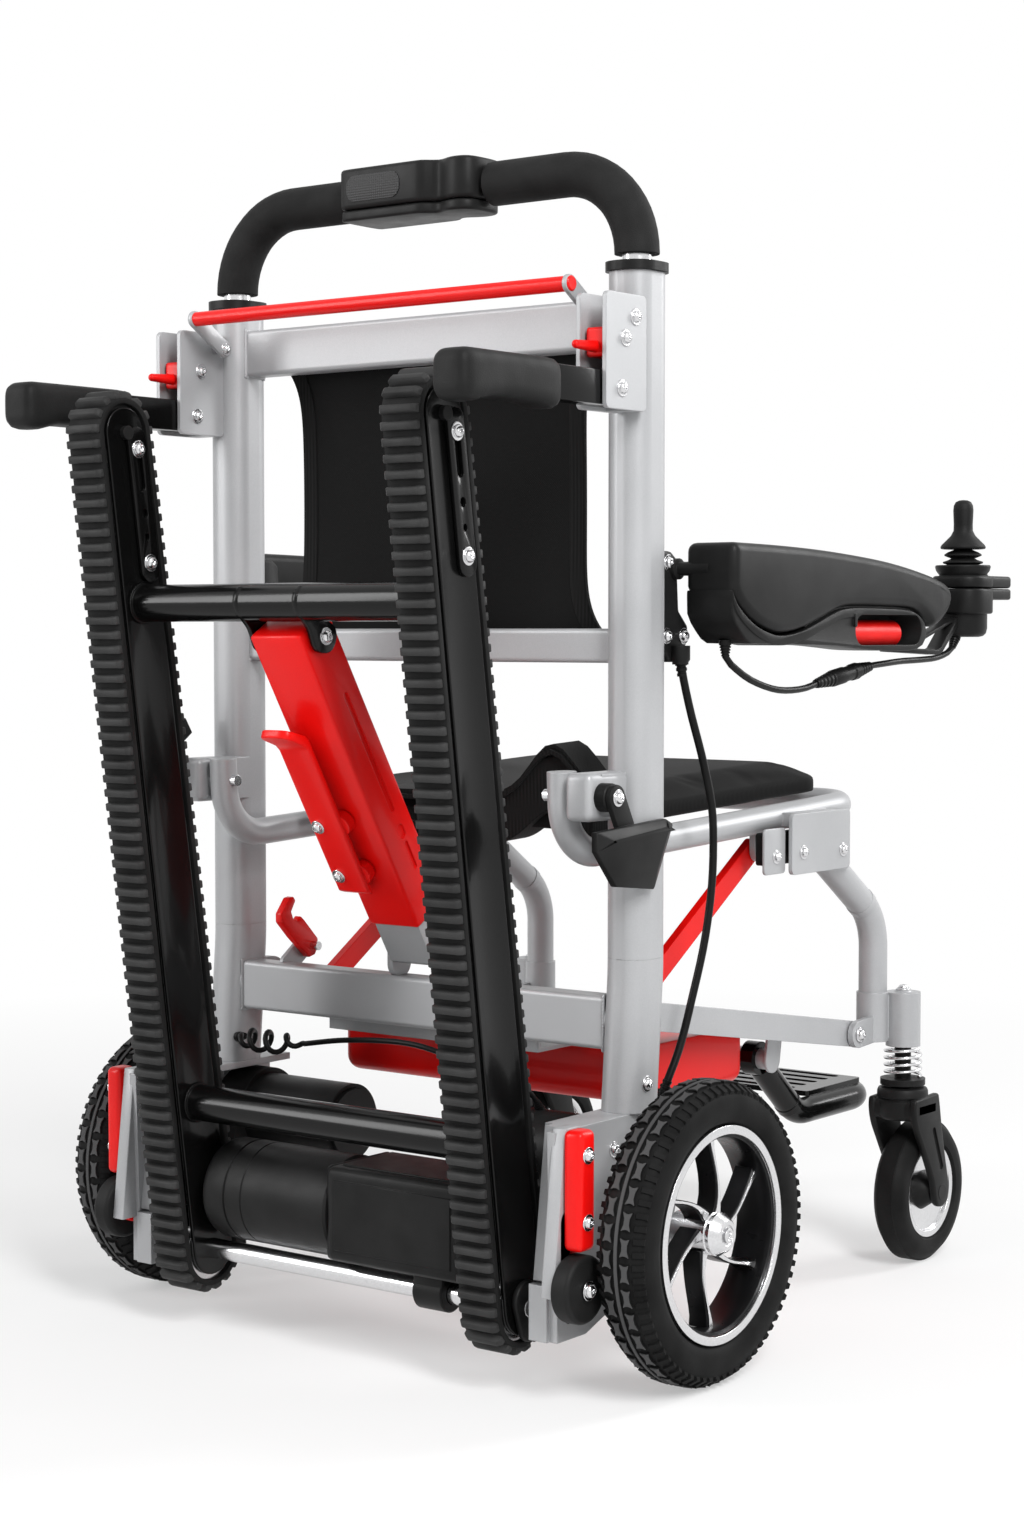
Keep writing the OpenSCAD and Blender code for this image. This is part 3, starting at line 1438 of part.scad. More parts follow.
module joystick_case() {
  strap_y1 = stick_y - stick_low_r / 2;
  arm_low = arm_point([lever_y1_share + 2 * lever_room / arm_len, strap_share]);
  arm_end = arm_point(arm_low_shares[2]);
  color(black) {
    difference() {
      union() {
        at([stick_x, stick_y, stick_low_z0 + gap])
          cylinder(r = stick_low_r, h = stick_case_z0 - stick_low_z0 - gap + over);
        at([stick_x, stick_y, stick_case_z0]) linear_extrude(stick_case_z1 - stick_case_z0)
          soft_rect(stick_case_w, stick_case_w, stick_case_w / 2.4);
        at([stick_x, stick_y, stick_ring_z0])
          cylinder(r = stick_ring_r, h = stick_ring_z1 - stick_ring_z0);
        at([stick_x, (stick_y + panel_y1) / 2, panel_z0])
          linear_extrude(stick_case_z1 - panel_z0)
            soft_rect(panel_w, panel_y1 - stick_y, panel_corner);
      }
      at([stick_x, stick_y, stick_ring_z1 - stick_bore_d])
        cylinder(r = stick_bore_r, h = stick_bore_d + over);
      at([stick_x, stick_y, stick_z]) rotate(90)
        rod_x(gimbal_pin_r + run, -stick_bore_r - 2 * gimbal_pin_in, stick_bore_r + 2 * gimbal_pin_in, 0, 0);
      at([stick_x, button_y, stick_case_z1 + button_proud - button_h - button_floor])
        cylinder(r = button_r + button_gap, h = button_h + over);
    }
    along_x(stick_x - strap_w / 2, stick_x + strap_w / 2)
      polygon([arm_low - [0, gap], arm_low - [0, gap + strap_t],
          [strap_y1 - 2 * stick_low_r + strap_t, arm_end[1] - gap - strap_t],
          [strap_y1, stick_case_z0 - strap_t], [strap_y1, stick_case_z0],
          [strap_y1 - 2 * stick_low_r, arm_end[1] - gap], arm_end - [0, gap]]);
  }
}

// Gimbal ring on two pins along Y, with holes for the stick's pins along X
module joystick_gimbal() {
  color(steel) at([stick_x, stick_y, stick_z]) difference() {
    union() {
      at([0, 0, -gimbal_h / 2]) linear_extrude(gimbal_h) ring(gimbal_r, gimbal_wall);
      for (a = [90, 270]) rotate(a)
        rod_x(gimbal_pin_r, gimbal_r - gimbal_wall / 2, stick_bore_r + gimbal_pin_in, 0, 0);
    }
    rod_x(gimbal_pin_r + run, -gimbal_r - over, gimbal_r + over, 0, 0);
  }
}

module joystick_stick() {
  boot_top = boot_z0 + boot_ribs * boot_rib_h;
  color(rubber) at([stick_x, stick_y, 0]) {
    at([0, 0, stick_z]) sphere(stick_ball_r);
    rod_x(gimbal_pin_r, -gimbal_r, gimbal_r, 0, stick_z);
    at([0, 0, stick_z]) cylinder(r = stick_r, h = boot_top - stick_z);
    for (i = [0 : boot_ribs - 1]) at([0, 0, boot_z0 + i * boot_rib_h]) {
      r = boot_r0 - i * boot_taper;
      cylinder(r1 = r - boot_root, r2 = r, h = boot_rib_h / 2);
      at([0, 0, boot_rib_h / 2]) cylinder(r1 = r, r2 = r - boot_root, h = boot_rib_h / 2);
    }
    at([0, 0, boot_top - boot_rib_h / 2]) cylinder(r1 = boot_r0, r2 = knob_r - boot_taper, h = boot_hat_h);
    at([0, 0, boot_top]) cylinder(r1 = knob_r - boot_taper, r2 = knob_r, h = knob_top_z - knob_r - boot_top);
    at([0, 0, knob_top_z - knob_r]) sphere(knob_r);
  }
}

module power_button() {
  color(red) at([stick_x, button_y, stick_case_z1 + button_proud - button_h])
    cylinder(r = button_r, h = button_h);
}

// Length of the belt's pitch line: two straight runs and an arc round each pulley
taper = asin((belt_r_low - belt_r_top) / track_len);
straight_run = track_len * cos(taper);
function belt_loop(rise) = 2 * straight_run
  + (belt_r_low - lug_h + rise) * (180 + 2 * taper) * PI / 180
  + (belt_r_top - lug_h + rise) * (180 - 2 * taper) * PI / 180;
top_arc = (belt_r_top - lug_h) * (180 - 2 * taper) * PI / 180;

// A point on the belt, s along its root line from the drive pulley's front tangent, rise above that line
function belt_point(s, rise) =
  s < straight_run
  ? let (n = [cos(taper), sin(taper)], r = belt_r_low - lug_h)
    r * n + s * [-sin(taper), cos(taper)] + rise * n
  : s < straight_run + top_arc
  ? let (a = taper + (s - straight_run) / (belt_r_top - lug_h) * 180 / PI)
    [0, track_len] + (belt_r_top - lug_h + rise) * [cos(a), sin(a)]
  : s < 2 * straight_run + top_arc
  ? let (n = [-cos(taper), sin(taper)], d = s - straight_run - top_arc)
    [0, track_len] + (belt_r_top - lug_h + rise) * n - d * [sin(taper), cos(taper)]
  : let (a = 180 - taper + (s - 2 * straight_run - top_arc) / (belt_r_low - lug_h) * 180 / PI)
    (belt_r_low - lug_h + rise) * [cos(a), sin(a)];

lug_shares = [[0.18, 0], [0.26, 1], [0.74, 1], [0.82, 0]];

module belt_outline() {
  pitch = belt_loop(0) / lug_count;
  polygon([for (i = [0 : lug_count - 1], p = lug_shares) belt_point((i + p[0]) * pitch, p[1] * lug_h)]);
}

// The plain loop that two pulleys of these radii would carry
module loop_outline(low_r, top_r) {
  circle(low_r);
  at([0, track_len]) circle(top_r);
  polygon([[low_r * cos(taper), low_r * sin(taper)], [top_r * cos(taper), track_len + top_r * sin(taper)],
        [-top_r * cos(taper), track_len + top_r * sin(taper)], [-low_r * cos(taper), low_r * sin(taper)]]);
}

belt_in_low = belt_r_low - lug_h - belt_t;
belt_in_top = belt_r_top - lug_h - belt_t;

module track_belts() {
  color(rubber) both() in_track() along_x(belt_x - belt_w / 2, belt_x + belt_w / 2) difference() {
    belt_outline();
    loop_outline(belt_in_low, belt_in_top);
  }
}

module track_beams() {
  x0 = belt_x - belt_w / 2;
  x1 = belt_x + belt_w / 2;
  color(black) both() in_track() {
    difference() {
      union() {
        along_x(x0, x1) {
          circle(beam_half);
          at([-beam_half, 0]) square([2 * beam_half, beam_top_b]);
        }
        rod_x(boss_r, x0 - boss_len, x0, 0, 0);
        rod_x(boss_r, x1, x1 + pivot_boss_len, 0, 0);
      }
      along_x(x0 + track_wall, x1 - track_wall) {
        at([-beam_half - over, -beam_half - over])
          square([2 * (beam_half + over), beam_half + over + beam_pocket]);
        at([-beam_half + track_wall, beam_pocket + track_wall])
          square([2 * (beam_half - track_wall), beam_top_b - 2 * beam_pocket]);
      }
      rod_x(shaft_d / 2 + run, x0 - boss_len - over, x1 + gap, 0, 0);
      rod_x(track_pin_r + run, x1, x1 + pivot_boss_len + over, 0, 0);
    }
    for (x = [x0 - tension_t - gap, x1 + gap]) along_x(x, x + tension_t) difference() {
      link([0, tension_low_b + tension_half], [0, track_len], 2 * tension_half);
      at([0, track_len]) circle(idler_axle_r + run);
      link([0, tension_slot_b0], [0, tension_slot_b1], 2 * tension_hole_r);
      for (i = [1, 2]) at([0, tension_slot_b0 - i * tension_hole_step]) circle(tension_hole_r);
    }
  }
}

module track_tubes() {
  x1 = belt_x - belt_w / 2 - gap;
  tube_y = cross_top_b * sin(track_lean);
  top_y = shaft_y - cross_top_b * sin(track_lean);
  top_z = shaft_z + cross_top_b * cos(track_lean);
  color(black) {
    in_track() for (b = [cross_low_b, cross_top_b]) at([-x1, 0, b]) rotate([0, 90, 0])
      linear_extrude(2 * x1) ring(cross_tube_r, tube_wall);
    both() difference() {
      along_x(strut_ear_x, strut_ear_x + strut_ear_t) {
        at([top_y, top_z]) circle(cross_tube_r + strut_ear_rim);
        link([top_y, top_z], [strut_top_y, strut_top_z], 2 * strut_end_r);
      }
      rod_x(cross_tube_r - tube_wall / 2, 0, x1, top_y, top_z);
      rod_x(pin_r, 0, x1, strut_top_y, strut_top_z);
    }
  }
}

module climb_gearmotor() {
  x1 = belt_x - belt_w / 2 - gap;
  mid_y = (box_y0 + box_y1) / 2;
  mid_z = (box_z0 + box_z1) / 2;
  color(black) difference() {
    union() {
      rod_x(motor_d / 2, motor_x0 + motor_cap_t, motor_x1, motor_y, motor_z);
      rod_x(motor_d / 2 - motor_cap_step, motor_x0, motor_x0 + motor_cap_t, motor_y, motor_z);
      along_x(motor_x1, x1) at([mid_y, mid_z]) soft_rect(box_y1 - box_y0, box_z1 - box_z0, box_corner);
      along_x(box_split_x, box_split_x + box_split_t) at([mid_y, mid_z])
        soft_rect(box_y1 - box_y0 + 2 * box_split_rim, box_z1 - box_z0 + 2 * box_split_rim, box_corner);
      along_x(drive_boss_x0, drive_boss_x1)
        link([shaft_y, shaft_z], [shaft_y, box_z0 + box_corner], 2 * drive_boss_r);
    }
    rod_x(shaft_d / 2 + run, motor_x1, x1 + over, shaft_y, shaft_z);
  }
}

module pulley(r, bore) {
  difference() {
    circle(r);
    circle(bore);
  }
}

module drive_shaft() {
  x0 = belt_x - belt_w / 2 + track_wall + pulley_side;
  x1 = belt_x + belt_w / 2 - track_wall - pulley_side;
  color(steel) {
    rod_x(shaft_d / 2, -belt_x - belt_w / 2, belt_x + belt_w / 2, shaft_y, shaft_z);
    both() along_x(x0, x1) at([shaft_y, shaft_z]) circle(belt_in_low - pulley_gap);
  }
}

module idlers() {
  x0 = belt_x - belt_w / 2;
  x1 = belt_x + belt_w / 2;
  color(steel) both() in_track() {
    rod_x(belt_in_top - pulley_gap, x0 + track_wall + pulley_side, x1 - track_wall - pulley_side,
      0, track_len);
    rod_x(idler_axle_r, x0 - tension_t - gap, x1 + tension_t + gap, 0, track_len);
  }
}

module strut_inner() {
  in_w = strut_w - 2 * strut_wall - 2 * strut_fit;
  in_d = strut_d - 2 * strut_wall - 2 * strut_fit;
  color(silver) in_strut() difference() {
    union() {
      at([-in_w / 2, -in_d / 2, 0]) cube([in_w, in_d, strut_inner_len]);
      along_x(-in_w / 2, in_w / 2) circle(min(strut_end_r, in_d / 2));
    }
    at([-in_w / 2 + strut_wall, -in_d / 2 + strut_wall, strut_start])
      cube([in_w - 2 * strut_wall, in_d - 2 * strut_wall, strut_inner_len]);
    rod_x(pin_r + run, -strut_w, strut_w, 0, 0);
  }
}

// Red sleeve with side slots, and slots in its rear face for the release handle's pins
module strut_outer() {
  top = strut_len;
  slot_len = strut_slot_w + over;
  color(red) in_strut() difference() {
    union() {
      at([-strut_w / 2, -strut_d / 2, strut_start]) cube([strut_w, strut_d, top - strut_start]);
      at([0, 0, top]) along_x(-strut_w / 2, strut_w / 2) circle(strut_end_r);
    }
    at([-strut_w / 2 + strut_wall, -strut_d / 2 + strut_wall, strut_start - over])
      cube([strut_w - 2 * strut_wall, strut_d - 2 * strut_wall, top - strut_start - strut_end_r]);
    along_x(0, strut_w) for (t = strut_slot_s) link([0, t], [0, t + 2 * slot_len], strut_slot_w);
    along_y(-strut_d, -strut_d / 2 + strut_wall + gap) for (t = release_pin_s)
      link([release_mid_x, t], [release_mid_x, t + release_travel], 2 * (release_pin_r + release_room));
  }
}

release_mid_x = release_x0 + release_w / 2;

// Sliding handle behind the sleeve, on two headed pins
module strut_lever() {
  face = -strut_d / 2 - release_stand;
  color(red) in_strut() {
    along_x(release_x0, release_x0 + release_w) polygon([
      [face, release_s0], [face - release_t, release_s0 + release_t], [face - release_t, release_s1],
      [face - release_tab, release_s1 + release_tab],
      [face - release_tab + release_t, release_s1 + release_tab + release_t],
      [face, release_s1 + release_t]]);
    for (t = release_pin_s) at([release_mid_x, 0, t]) along_y(face - release_t / 2, -strut_d / 2 + strut_wall)
      circle(release_pin_r);
  }
}

module fold_hook() {
  color(red) along_x(hook_x - hook_t, hook_x) difference() {
    union() {
      at([hook_y, hook_z]) circle(hook_r);
      link([hook_y, hook_z], [hook_y - hook_nose, hook_z + hook_h], hook_bar);
      link([hook_y - hook_nose, hook_z + hook_h], [hook_y - 2 * hook_nose, hook_z + hook_h], hook_bar);
    }
    at([hook_y, hook_z]) circle(latch_pin_r + run);
  }
}

module armrest_cable() {
  color(black) sweep(cable_route, cable_r, cord_sides);
}

module joystick_lead() {
  n = len(lead_route);
  k = floor(plug_route_share * n) - 1;
  p = lead_route[k];
  q = lead_route[k + 2];
  color(black) {
    sweep(lead_route, lead_r, cord_sides);
    sweep([p, p + (q - p) / 2, q], plug_r, cord_sides);
  }
}

// The power lead leaves the left upright in loose curls, then runs under the low bar to the right wheel motor
module power_lead() {
  axis = curl_end - curl_start;
  n = curl_turns * ring_steps;
  curls = [for (i = [0 : n])
    let (a = 360 * curl_turns * i / n, f = i / n, r = curl_r * min(1, 4 * f, 4 * (1 - f)))
    curl_start + f * axis + r * [0, cos(a) - 1, sin(a)]];
  color(black) sweep(concat(curls, [for (i = [1 : len(wire_route) - 1]) wire_route[i]]), wire_r, wire_sides);
}

// Draws a node where it is the one asked for
module show(name) {
  children();
}

// Every node, moved so that the middle of the whole is over the origin
at([0, -origin_y, 0]) {
  show("uprights") uprights();
  show("crossbars") crossbars();
  show("upright_collars") upright_collars();
  show("lift_brackets") lift_brackets();
  show("wheel_brackets") wheel_brackets();
  show("roller_arms") roller_arms();
  show("belt_stalks") belt_stalks();
  show("armrest_brackets") armrest_brackets();
  show("backrest_sling") backrest_sling();
  show("battery_box") battery_box();
  show("drive_gearmotors") drive_gearmotors();
  show("pivot_pins") pivot_pins();
  show("armrest_cable") armrest_cable();
  show("power_lead") power_lead();
  show("tyre_left") tyre(-1);
  show("rim_left") rim(-1);
  show("tyre_right") tyre(1);
  show("rim_right") rim(1);
  show("caster_stem_left") caster_stem(-1);
  show("caster_spring_left") caster_spring(-1);
  show("caster_fork_left") caster_fork(-1);
  show("caster_wheel_left") caster_wheel(-1);
  show("caster_stem_right") caster_stem(1);
  show("caster_spring_right") caster_spring(1);
  show("caster_fork_right") caster_fork(1);
  show("caster_wheel_right") caster_wheel(1);
  show("stair_rollers") stair_rollers();
  show("seat_frame") seat_frame();
  show("seat_cushion") seat_cushion();
  show("braces") braces();
  show("side_rails") side_rails();
  show("front_legs") front_legs();
  show("footrest") footrest();
  show("handle_tube") handle_tube();
  show("handle_foam") handle_foam();
  show("control_case") control_case();
  show("climb_switch") climb_switch();
  show("release_bar") release_bar();
  show("latch_levers") latch_levers();
  show("lift_handle_left") lift_handle(-1);
  show("lift_handle_right") lift_handle(1);
  show("armrest_left") armrest(-1);
  show("armrest_right") armrest(1);
  show("armrest_lever_left") armrest_lever(-1);
  show("armrest_lever_right") armrest_lever(1);
  show("joystick_case") joystick_case();
  show("joystick_gimbal") joystick_gimbal();
  show("joystick_stick") joystick_stick();
  show("power_button") power_button();
  show("joystick_lead") joystick_lead();
  show("track_beams") track_beams();
  show("track_tubes") track_tubes();
  show("track_belts") track_belts();
  show("climb_gearmotor") climb_gearmotor();
  show("drive_shaft") drive_shaft();
  show("idlers") idlers();
  show("strut_inner") strut_inner();
  show("strut_outer") strut_outer();
  show("strut_lever") strut_lever();
  show("fold_hook") fold_hook();
}
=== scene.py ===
# %% [markdown]
# # A stair climbing wheelchair
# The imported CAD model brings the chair's sizes, bodies and joints into Blender.
# Its welded steelwork is kept and painted, and the rest is modelled by hand on top of it:
# belts, tyres, padding, cloth, moulded plastic, cables, welds and screws.

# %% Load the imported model
import math
import bpy
from mathutils import Matrix, Vector


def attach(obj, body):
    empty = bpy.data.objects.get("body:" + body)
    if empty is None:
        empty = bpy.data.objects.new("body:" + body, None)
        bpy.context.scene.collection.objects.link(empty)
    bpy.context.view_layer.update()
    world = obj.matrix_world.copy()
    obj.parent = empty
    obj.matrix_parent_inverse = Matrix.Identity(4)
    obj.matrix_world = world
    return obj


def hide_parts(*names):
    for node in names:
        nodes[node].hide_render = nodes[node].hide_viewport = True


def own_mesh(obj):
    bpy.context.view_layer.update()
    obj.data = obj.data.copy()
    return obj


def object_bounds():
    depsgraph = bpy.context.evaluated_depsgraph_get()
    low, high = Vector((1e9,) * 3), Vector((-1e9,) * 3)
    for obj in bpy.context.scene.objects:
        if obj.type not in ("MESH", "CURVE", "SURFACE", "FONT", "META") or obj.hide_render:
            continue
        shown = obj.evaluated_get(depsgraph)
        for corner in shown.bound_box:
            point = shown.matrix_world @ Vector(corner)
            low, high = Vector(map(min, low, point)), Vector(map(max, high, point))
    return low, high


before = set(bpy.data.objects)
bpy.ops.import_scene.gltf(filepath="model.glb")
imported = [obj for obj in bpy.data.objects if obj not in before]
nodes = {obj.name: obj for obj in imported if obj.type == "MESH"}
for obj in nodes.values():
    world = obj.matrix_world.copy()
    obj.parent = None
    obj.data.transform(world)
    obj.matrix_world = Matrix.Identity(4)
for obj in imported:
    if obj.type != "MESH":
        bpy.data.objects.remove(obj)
cad_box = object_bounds()
print(len(nodes), "CAD nodes between", cad_box[0], "and", cad_box[1])

# %% [markdown]
# The drawing measures in millimetres from the rear axle, and the model is centred on its length.
# Its rearmost point, the end of the lift grips, tells how far the two differ. One helper then turns
# a drawing point into a scene point, so that sizes can be read off the drawing.

# %% Drawing points
MM = 0.001
GRIP_END = -262
AXLE_HIGH = 127
AXLE_BACK = GRIP_END - cad_box[0][1] / MM


def spot(x, y, z):
    """A point of the drawing as a point of the scene."""
    return Vector((x * MM, (y - AXLE_BACK) * MM, z * MM))


print("the rear axle lies at", spot(0, 0, AXLE_HIGH))

# %% [markdown]
# The camera stands behind the chair on its right side, low and some way off.
# Its place was worked out from points on the wheels, uprights and bars, so the render lines up
# with the photograph and pieces can be compared one by one.

# %% Camera
bpy.ops.object.camera_add(location=spot(1500.9, -1847, 625.3))
camera = bpy.context.object
camera.rotation_euler = (math.radians(87.05), 0, math.radians(37.18))
camera.data.lens = 62.79
camera.data.sensor_width = 36
bpy.context.scene.camera = camera
print("camera at", camera.location)

# %% [markdown]
# Shader maths reads best as plain sums. A small class wraps a socket, and each operator adds a
# Math node. The reflected forms let a plain number stand first, as in 1 - mask. Any other node comes
# from one method, which takes its type, settings and sockets.

# %% Shader values and nodes
class Value:
    """A socket that can be used in a sum."""

    def __init__(self, finish, socket):
        self.finish = finish
        self.socket = socket

    def maths(self, operation, first, second):
        return self.finish.node("ShaderNodeMath", {"operation": operation}, {0: first, 1: second})

    def __add__(self, other):
        return self.maths("ADD", self, other)

    def __radd__(self, other):
        return self.maths("ADD", other, self)

    def __sub__(self, other):
        return self.maths("SUBTRACT", self, other)

    def __rsub__(self, other):
        return self.maths("SUBTRACT", other, self)

    def __mul__(self, other):
        return self.maths("MULTIPLY", self, other)

    def __rmul__(self, other):
        return self.maths("MULTIPLY", other, self)

    def __pow__(self, other):
        return self.maths("POWER", self, other)

    def __rpow__(self, other):
        return self.maths("POWER", other, self)


class Nodes:
    """A node tree that is built by plain calls."""

    def __init__(self, tree):
        self.tree = tree

    def node(self, kind, settings=None, sockets=None, output=0):
        made = self.tree.nodes.new(kind)
        for key, value in (settings or {}).items():
            if key == "stops":
                self.fill_ramp(made.color_ramp, value)
            else:
                setattr(made, key, value)
        for key, value in (sockets or {}).items():
            self.plug(made.inputs[key], value)
        return Value(self, made.outputs[output])

    def fill_ramp(self, ramp, stops):
        while len(ramp.elements) < len(stops):
            ramp.elements.new(0.5)
        for element, (place, shade) in zip(ramp.elements, stops):
            element.position = place
            element.color = (*shade, 1)

    def plug(self, socket, value):
        if isinstance(value, Value):
            self.tree.links.new(value.socket, socket)
        else:
            socket.default_value = value

    def looked_at(self):
        """More than zero for what the camera, a mirror or glass sees, and zero for other light."""
        rays = self.tree.nodes.new("ShaderNodeLightPath").outputs
        seen = Value(self, rays["Is Camera Ray"]) + Value(self, rays["Is Glossy Ray"])
        return seen + Value(self, rays["Is Transmission Ray"])


class Finish(Nodes):
    """One material, with the nodes that make it."""

    def __init__(self, name, colour, roughness, metallic=0.0):
        self.material = bpy.data.materials.new(name)
        self.material.use_nodes = True
        self.material.diffuse_color = (*colour, 1)
        super().__init__(self.material.node_tree)
        self.skin = self.tree.nodes["Principled BSDF"]
        self.set("Base Color", (*colour, 1))
        self.set("Roughness", roughness)
        self.set("Metallic", metallic)

    def set(self, name, value):
        self.plug(self.skin.inputs[name], value)

    def here(self):
        return self.node("ShaderNodeTexCoord", output="Object")

    def along(self, axis):
        return self.node("ShaderNodeSeparateXYZ", None, {0: self.here()}, axis)

    def sine(self, value):
        return self.node("ShaderNodeMath", {"operation": "SINE"}, {0: value})

    def noise(self, scale, detail):
        sockets = {"Vector": self.here(), "Scale": scale, "Detail": detail}
        return self.node("ShaderNodeTexNoise", None, sockets)

    def shades(self, value, *stops):
        return self.node("ShaderNodeValToRGB", {"stops": stops}, {"Fac": value})

    def blend(self, share, first, second):
        return self.node("ShaderNodeMix", {"data_type": "RGBA"}, {0: share, 6: first, 7: second}, 2)

    def bump(self, height, distance, edge=0.0):
        sockets = {"Height": height, "Distance": distance, "Strength": 1.0}
        if edge:
            sockets["Normal"] = self.node("ShaderNodeBevel", {"samples": 6}, {"Radius": edge})
        self.set("Normal", self.node("ShaderNodeBump", None, sockets))


def grey(level):
    return (level, level, level)


print("shader helpers ready")

# %% [markdown]
# Powder coat is a plastic skin baked onto the steel. Up close it has a fine orange peel, and the
# silver holds metal flakes. Rounded edges come from a Bevel node, since the CAD edges are sharp.
# The paints share one recipe: flakes in the colour, slow drifts in the gloss, peel in the bump.

# %% Painted steel
def paint(name, dark, light, roughness, metallic, coat, shine):
    finish = Finish(name, light, roughness, metallic)
    flakes = finish.noise(2400, 2)
    drift = finish.noise(9, 3)
    finish.set("Base Color", finish.shades(flakes * 0.6 + drift * 0.4, (0.34, dark), (0.66, light)))
    finish.set("Roughness", drift * 0.16 + (roughness - 0.08))
    finish.set("Coat Weight", coat)
    finish.set("Coat Roughness", 0.08)
    finish.set("Specular IOR Level", shine)
    finish.bump(finish.noise(420, 2), 0.00004, 0.0012)
    return finish.material


silver_coat = paint("silver_coat", (0.36, 0.365, 0.375), (0.46, 0.465, 0.475), 0.40, 0.22, 0.06, 0.3)
red_coat = paint("red_coat", (0.74, 0.003, 0.003), (0.88, 0.006, 0.004), 0.34, 0.0, 0.1, 0.18)
black_coat = paint("black_coat", grey(0.002), grey(0.005), 0.20, 0.0, 0.12, 0.16)
print("paints:", silver_coat.name, red_coat.name, black_coat.name)

# %% [markdown]
# Moulded plastic and rubber are both black, and differ in their skin. A mould is spark eroded, so
# the plastic has a fine leather-like grain and a dull sheen. Rubber is duller still, with pale dust
# in it, and foam shows small cells. One cell pattern gives all of these grains. The tread tops and the
# belt lugs are painted paler than the rest of the rubber, as painted highlights.

# %% Plastic, rubber and foam
def tread_highlight_share(finish, radius):
    """How much painted highlight the tread takes: none in the grooves, all on the block tops beyond a
    radius.
    """
    axle = spot(0, 0, AXLE_HIGH)
    y = finish.along(1) - axle.y
    z = finish.along(2) - axle.z
    reach = (y * y + z * z) ** 0.5
    limits = {"Value": reach, "From Min": radius, "From Max": radius + 0.0006}
    return finish.node("ShaderNodeMapRange", None, limits)


def moulded(name, dark, light, roughness, grain, depth, edge, shine=0.14, highlight_radius=None):
    finish = Finish(name, light, roughness)
    cells = finish.node("ShaderNodeTexVoronoi", None, {"Vector": finish.here(), "Scale": grain})
    wear = finish.noise(28, 4)
    skin = finish.shades(wear, (0.3, dark), (0.7, light))
    if highlight_radius:
        # The tread tops beyond the radius are painted a paler grey, a painted highlight against the shaded
        # grooves.
        skin = finish.blend(tread_highlight_share(finish, highlight_radius), skin, (0.075, 0.075, 0.076, 1))
    finish.set("Base Color", skin)
    finish.set("Roughness", finish.noise(60, 3) * 0.18 + (roughness - 0.09))
    finish.set("Specular IOR Level", shine)
    finish.bump(cells, depth, edge)
    return finish.material


black_plastic = moulded("black_plastic", grey(0.007), grey(0.013), 0.42, 1500, 0.00005, 0.0009)
grip_rubber = moulded("grip_rubber", grey(0.008), grey(0.015), 0.55, 900, 0.00008, 0.0012)
belt_rubber = moulded("belt_rubber", grey(0.006), grey(0.012), 0.60, 700, 0.00008, 0.0)
# The lugs take a paler rubber than the belt loop: a painted highlight on the raised lugs against the
# shaded gaps.
lug_rubber_highlit = moulded("lug_rubber_highlit", grey(0.022), grey(0.042), 0.55, 700, 0.00008, 0.0)
tyre_rubber = moulded("tyre_rubber", grey(0.007), grey(0.014), 0.56, 800, 0.00006, 0.0008, shine=0.08)
# From 125.6 mm out the tread tops are painted paler, a painted highlight.
tread_rubber = moulded("tread_rubber", grey(0.007), grey(0.014), 0.60, 800, 0.00006, 0.0,
                       shine=0.06, highlight_radius=0.1256)
red_plastic = moulded("red_plastic", (0.72, 0.004, 0.003), (0.86, 0.008, 0.005), 0.36, 1500, 0.00003, 0.0)
rim_paint = moulded("rim_paint", grey(0.004), (0.007, 0.007, 0.008), 0.30, 1500, 0.00002, 0.0006)
foam = moulded("handle_foam", grey(0.008), grey(0.016), 0.70, 1100, 0.00014, 0.0)
cable_skin = moulded("cable_skin", grey(0.004), grey(0.008), 0.36, 1300, 0.00003, 0.0)
print("plastics and rubbers:", black_plastic.name, grip_rubber.name, tyre_rubber.name, foam.name)

# %% [markdown]
# Bare metal needs no colour of its own, only a gloss that changes. Fine noise gives it the marks of
# polishing, in its brightness, its gloss and its bump.

# %% Bare metal
def metal(name, shade, roughness, grain):
    finish = Finish(name, shade, roughness, 1.0)
    polish = finish.noise(grain, 3)
    dull = tuple(part * 0.86 for part in shade)
    finish.set("Base Color", finish.shades(polish, (0.25, dull), (0.75, shade)))
    finish.set("Roughness", polish * 0.16 + (roughness - 0.08))
    finish.bump(polish, 0.00002, 0.0005)
    return finish.material


bright_steel = metal("bright_steel", (0.74, 0.74, 0.75), 0.20, 600)
print("metal:", bright_steel.name)

# %% [markdown]
# The seat and back are covered in a black nylon weave. Two wave patterns at right angles, one the
# weft and one the warp, make the threads, and slow noise makes the folds of the cloth shine unevenly.

# %% Woven cloth
def woven(name, dark, light, pitch, other):
    """Cloth with threads along X and along one other axis."""
    finish = Finish(name, light, 0.72)
    threads = math.pi / pitch
    weft = finish.sine(finish.along(0) * threads)
    warp = finish.sine(finish.along(other) * threads)
    weave = weft * warp * 0.5 + 0.5
    drift = finish.noise(14, 4)
    finish.set("Base Color", finish.shades(weave * 0.6 + drift * 0.4, (0.2, dark), (0.8, light)))
    finish.set("Roughness", drift * 0.16 + 0.60)
    finish.set("Sheen Weight", 0.06)
    finish.set("Specular IOR Level", 0.07)
    finish.bump(weave, 0.00012)
    return finish.material


seat_cloth = woven("seat_cloth", grey(0.002), grey(0.007), 0.0011, 1)
back_cloth = woven("back_cloth", grey(0.002), grey(0.007), 0.0011, 2)
webbing = woven("webbing", grey(0.003), grey(0.010), 0.0019, 1)
print("cloths:", seat_cloth.name, back_cloth.name, webbing.name)

# %% [markdown]
# The CAD nodes that stay in view take these finishes. The other nodes are stood for by modelled
# pieces, which hide them.

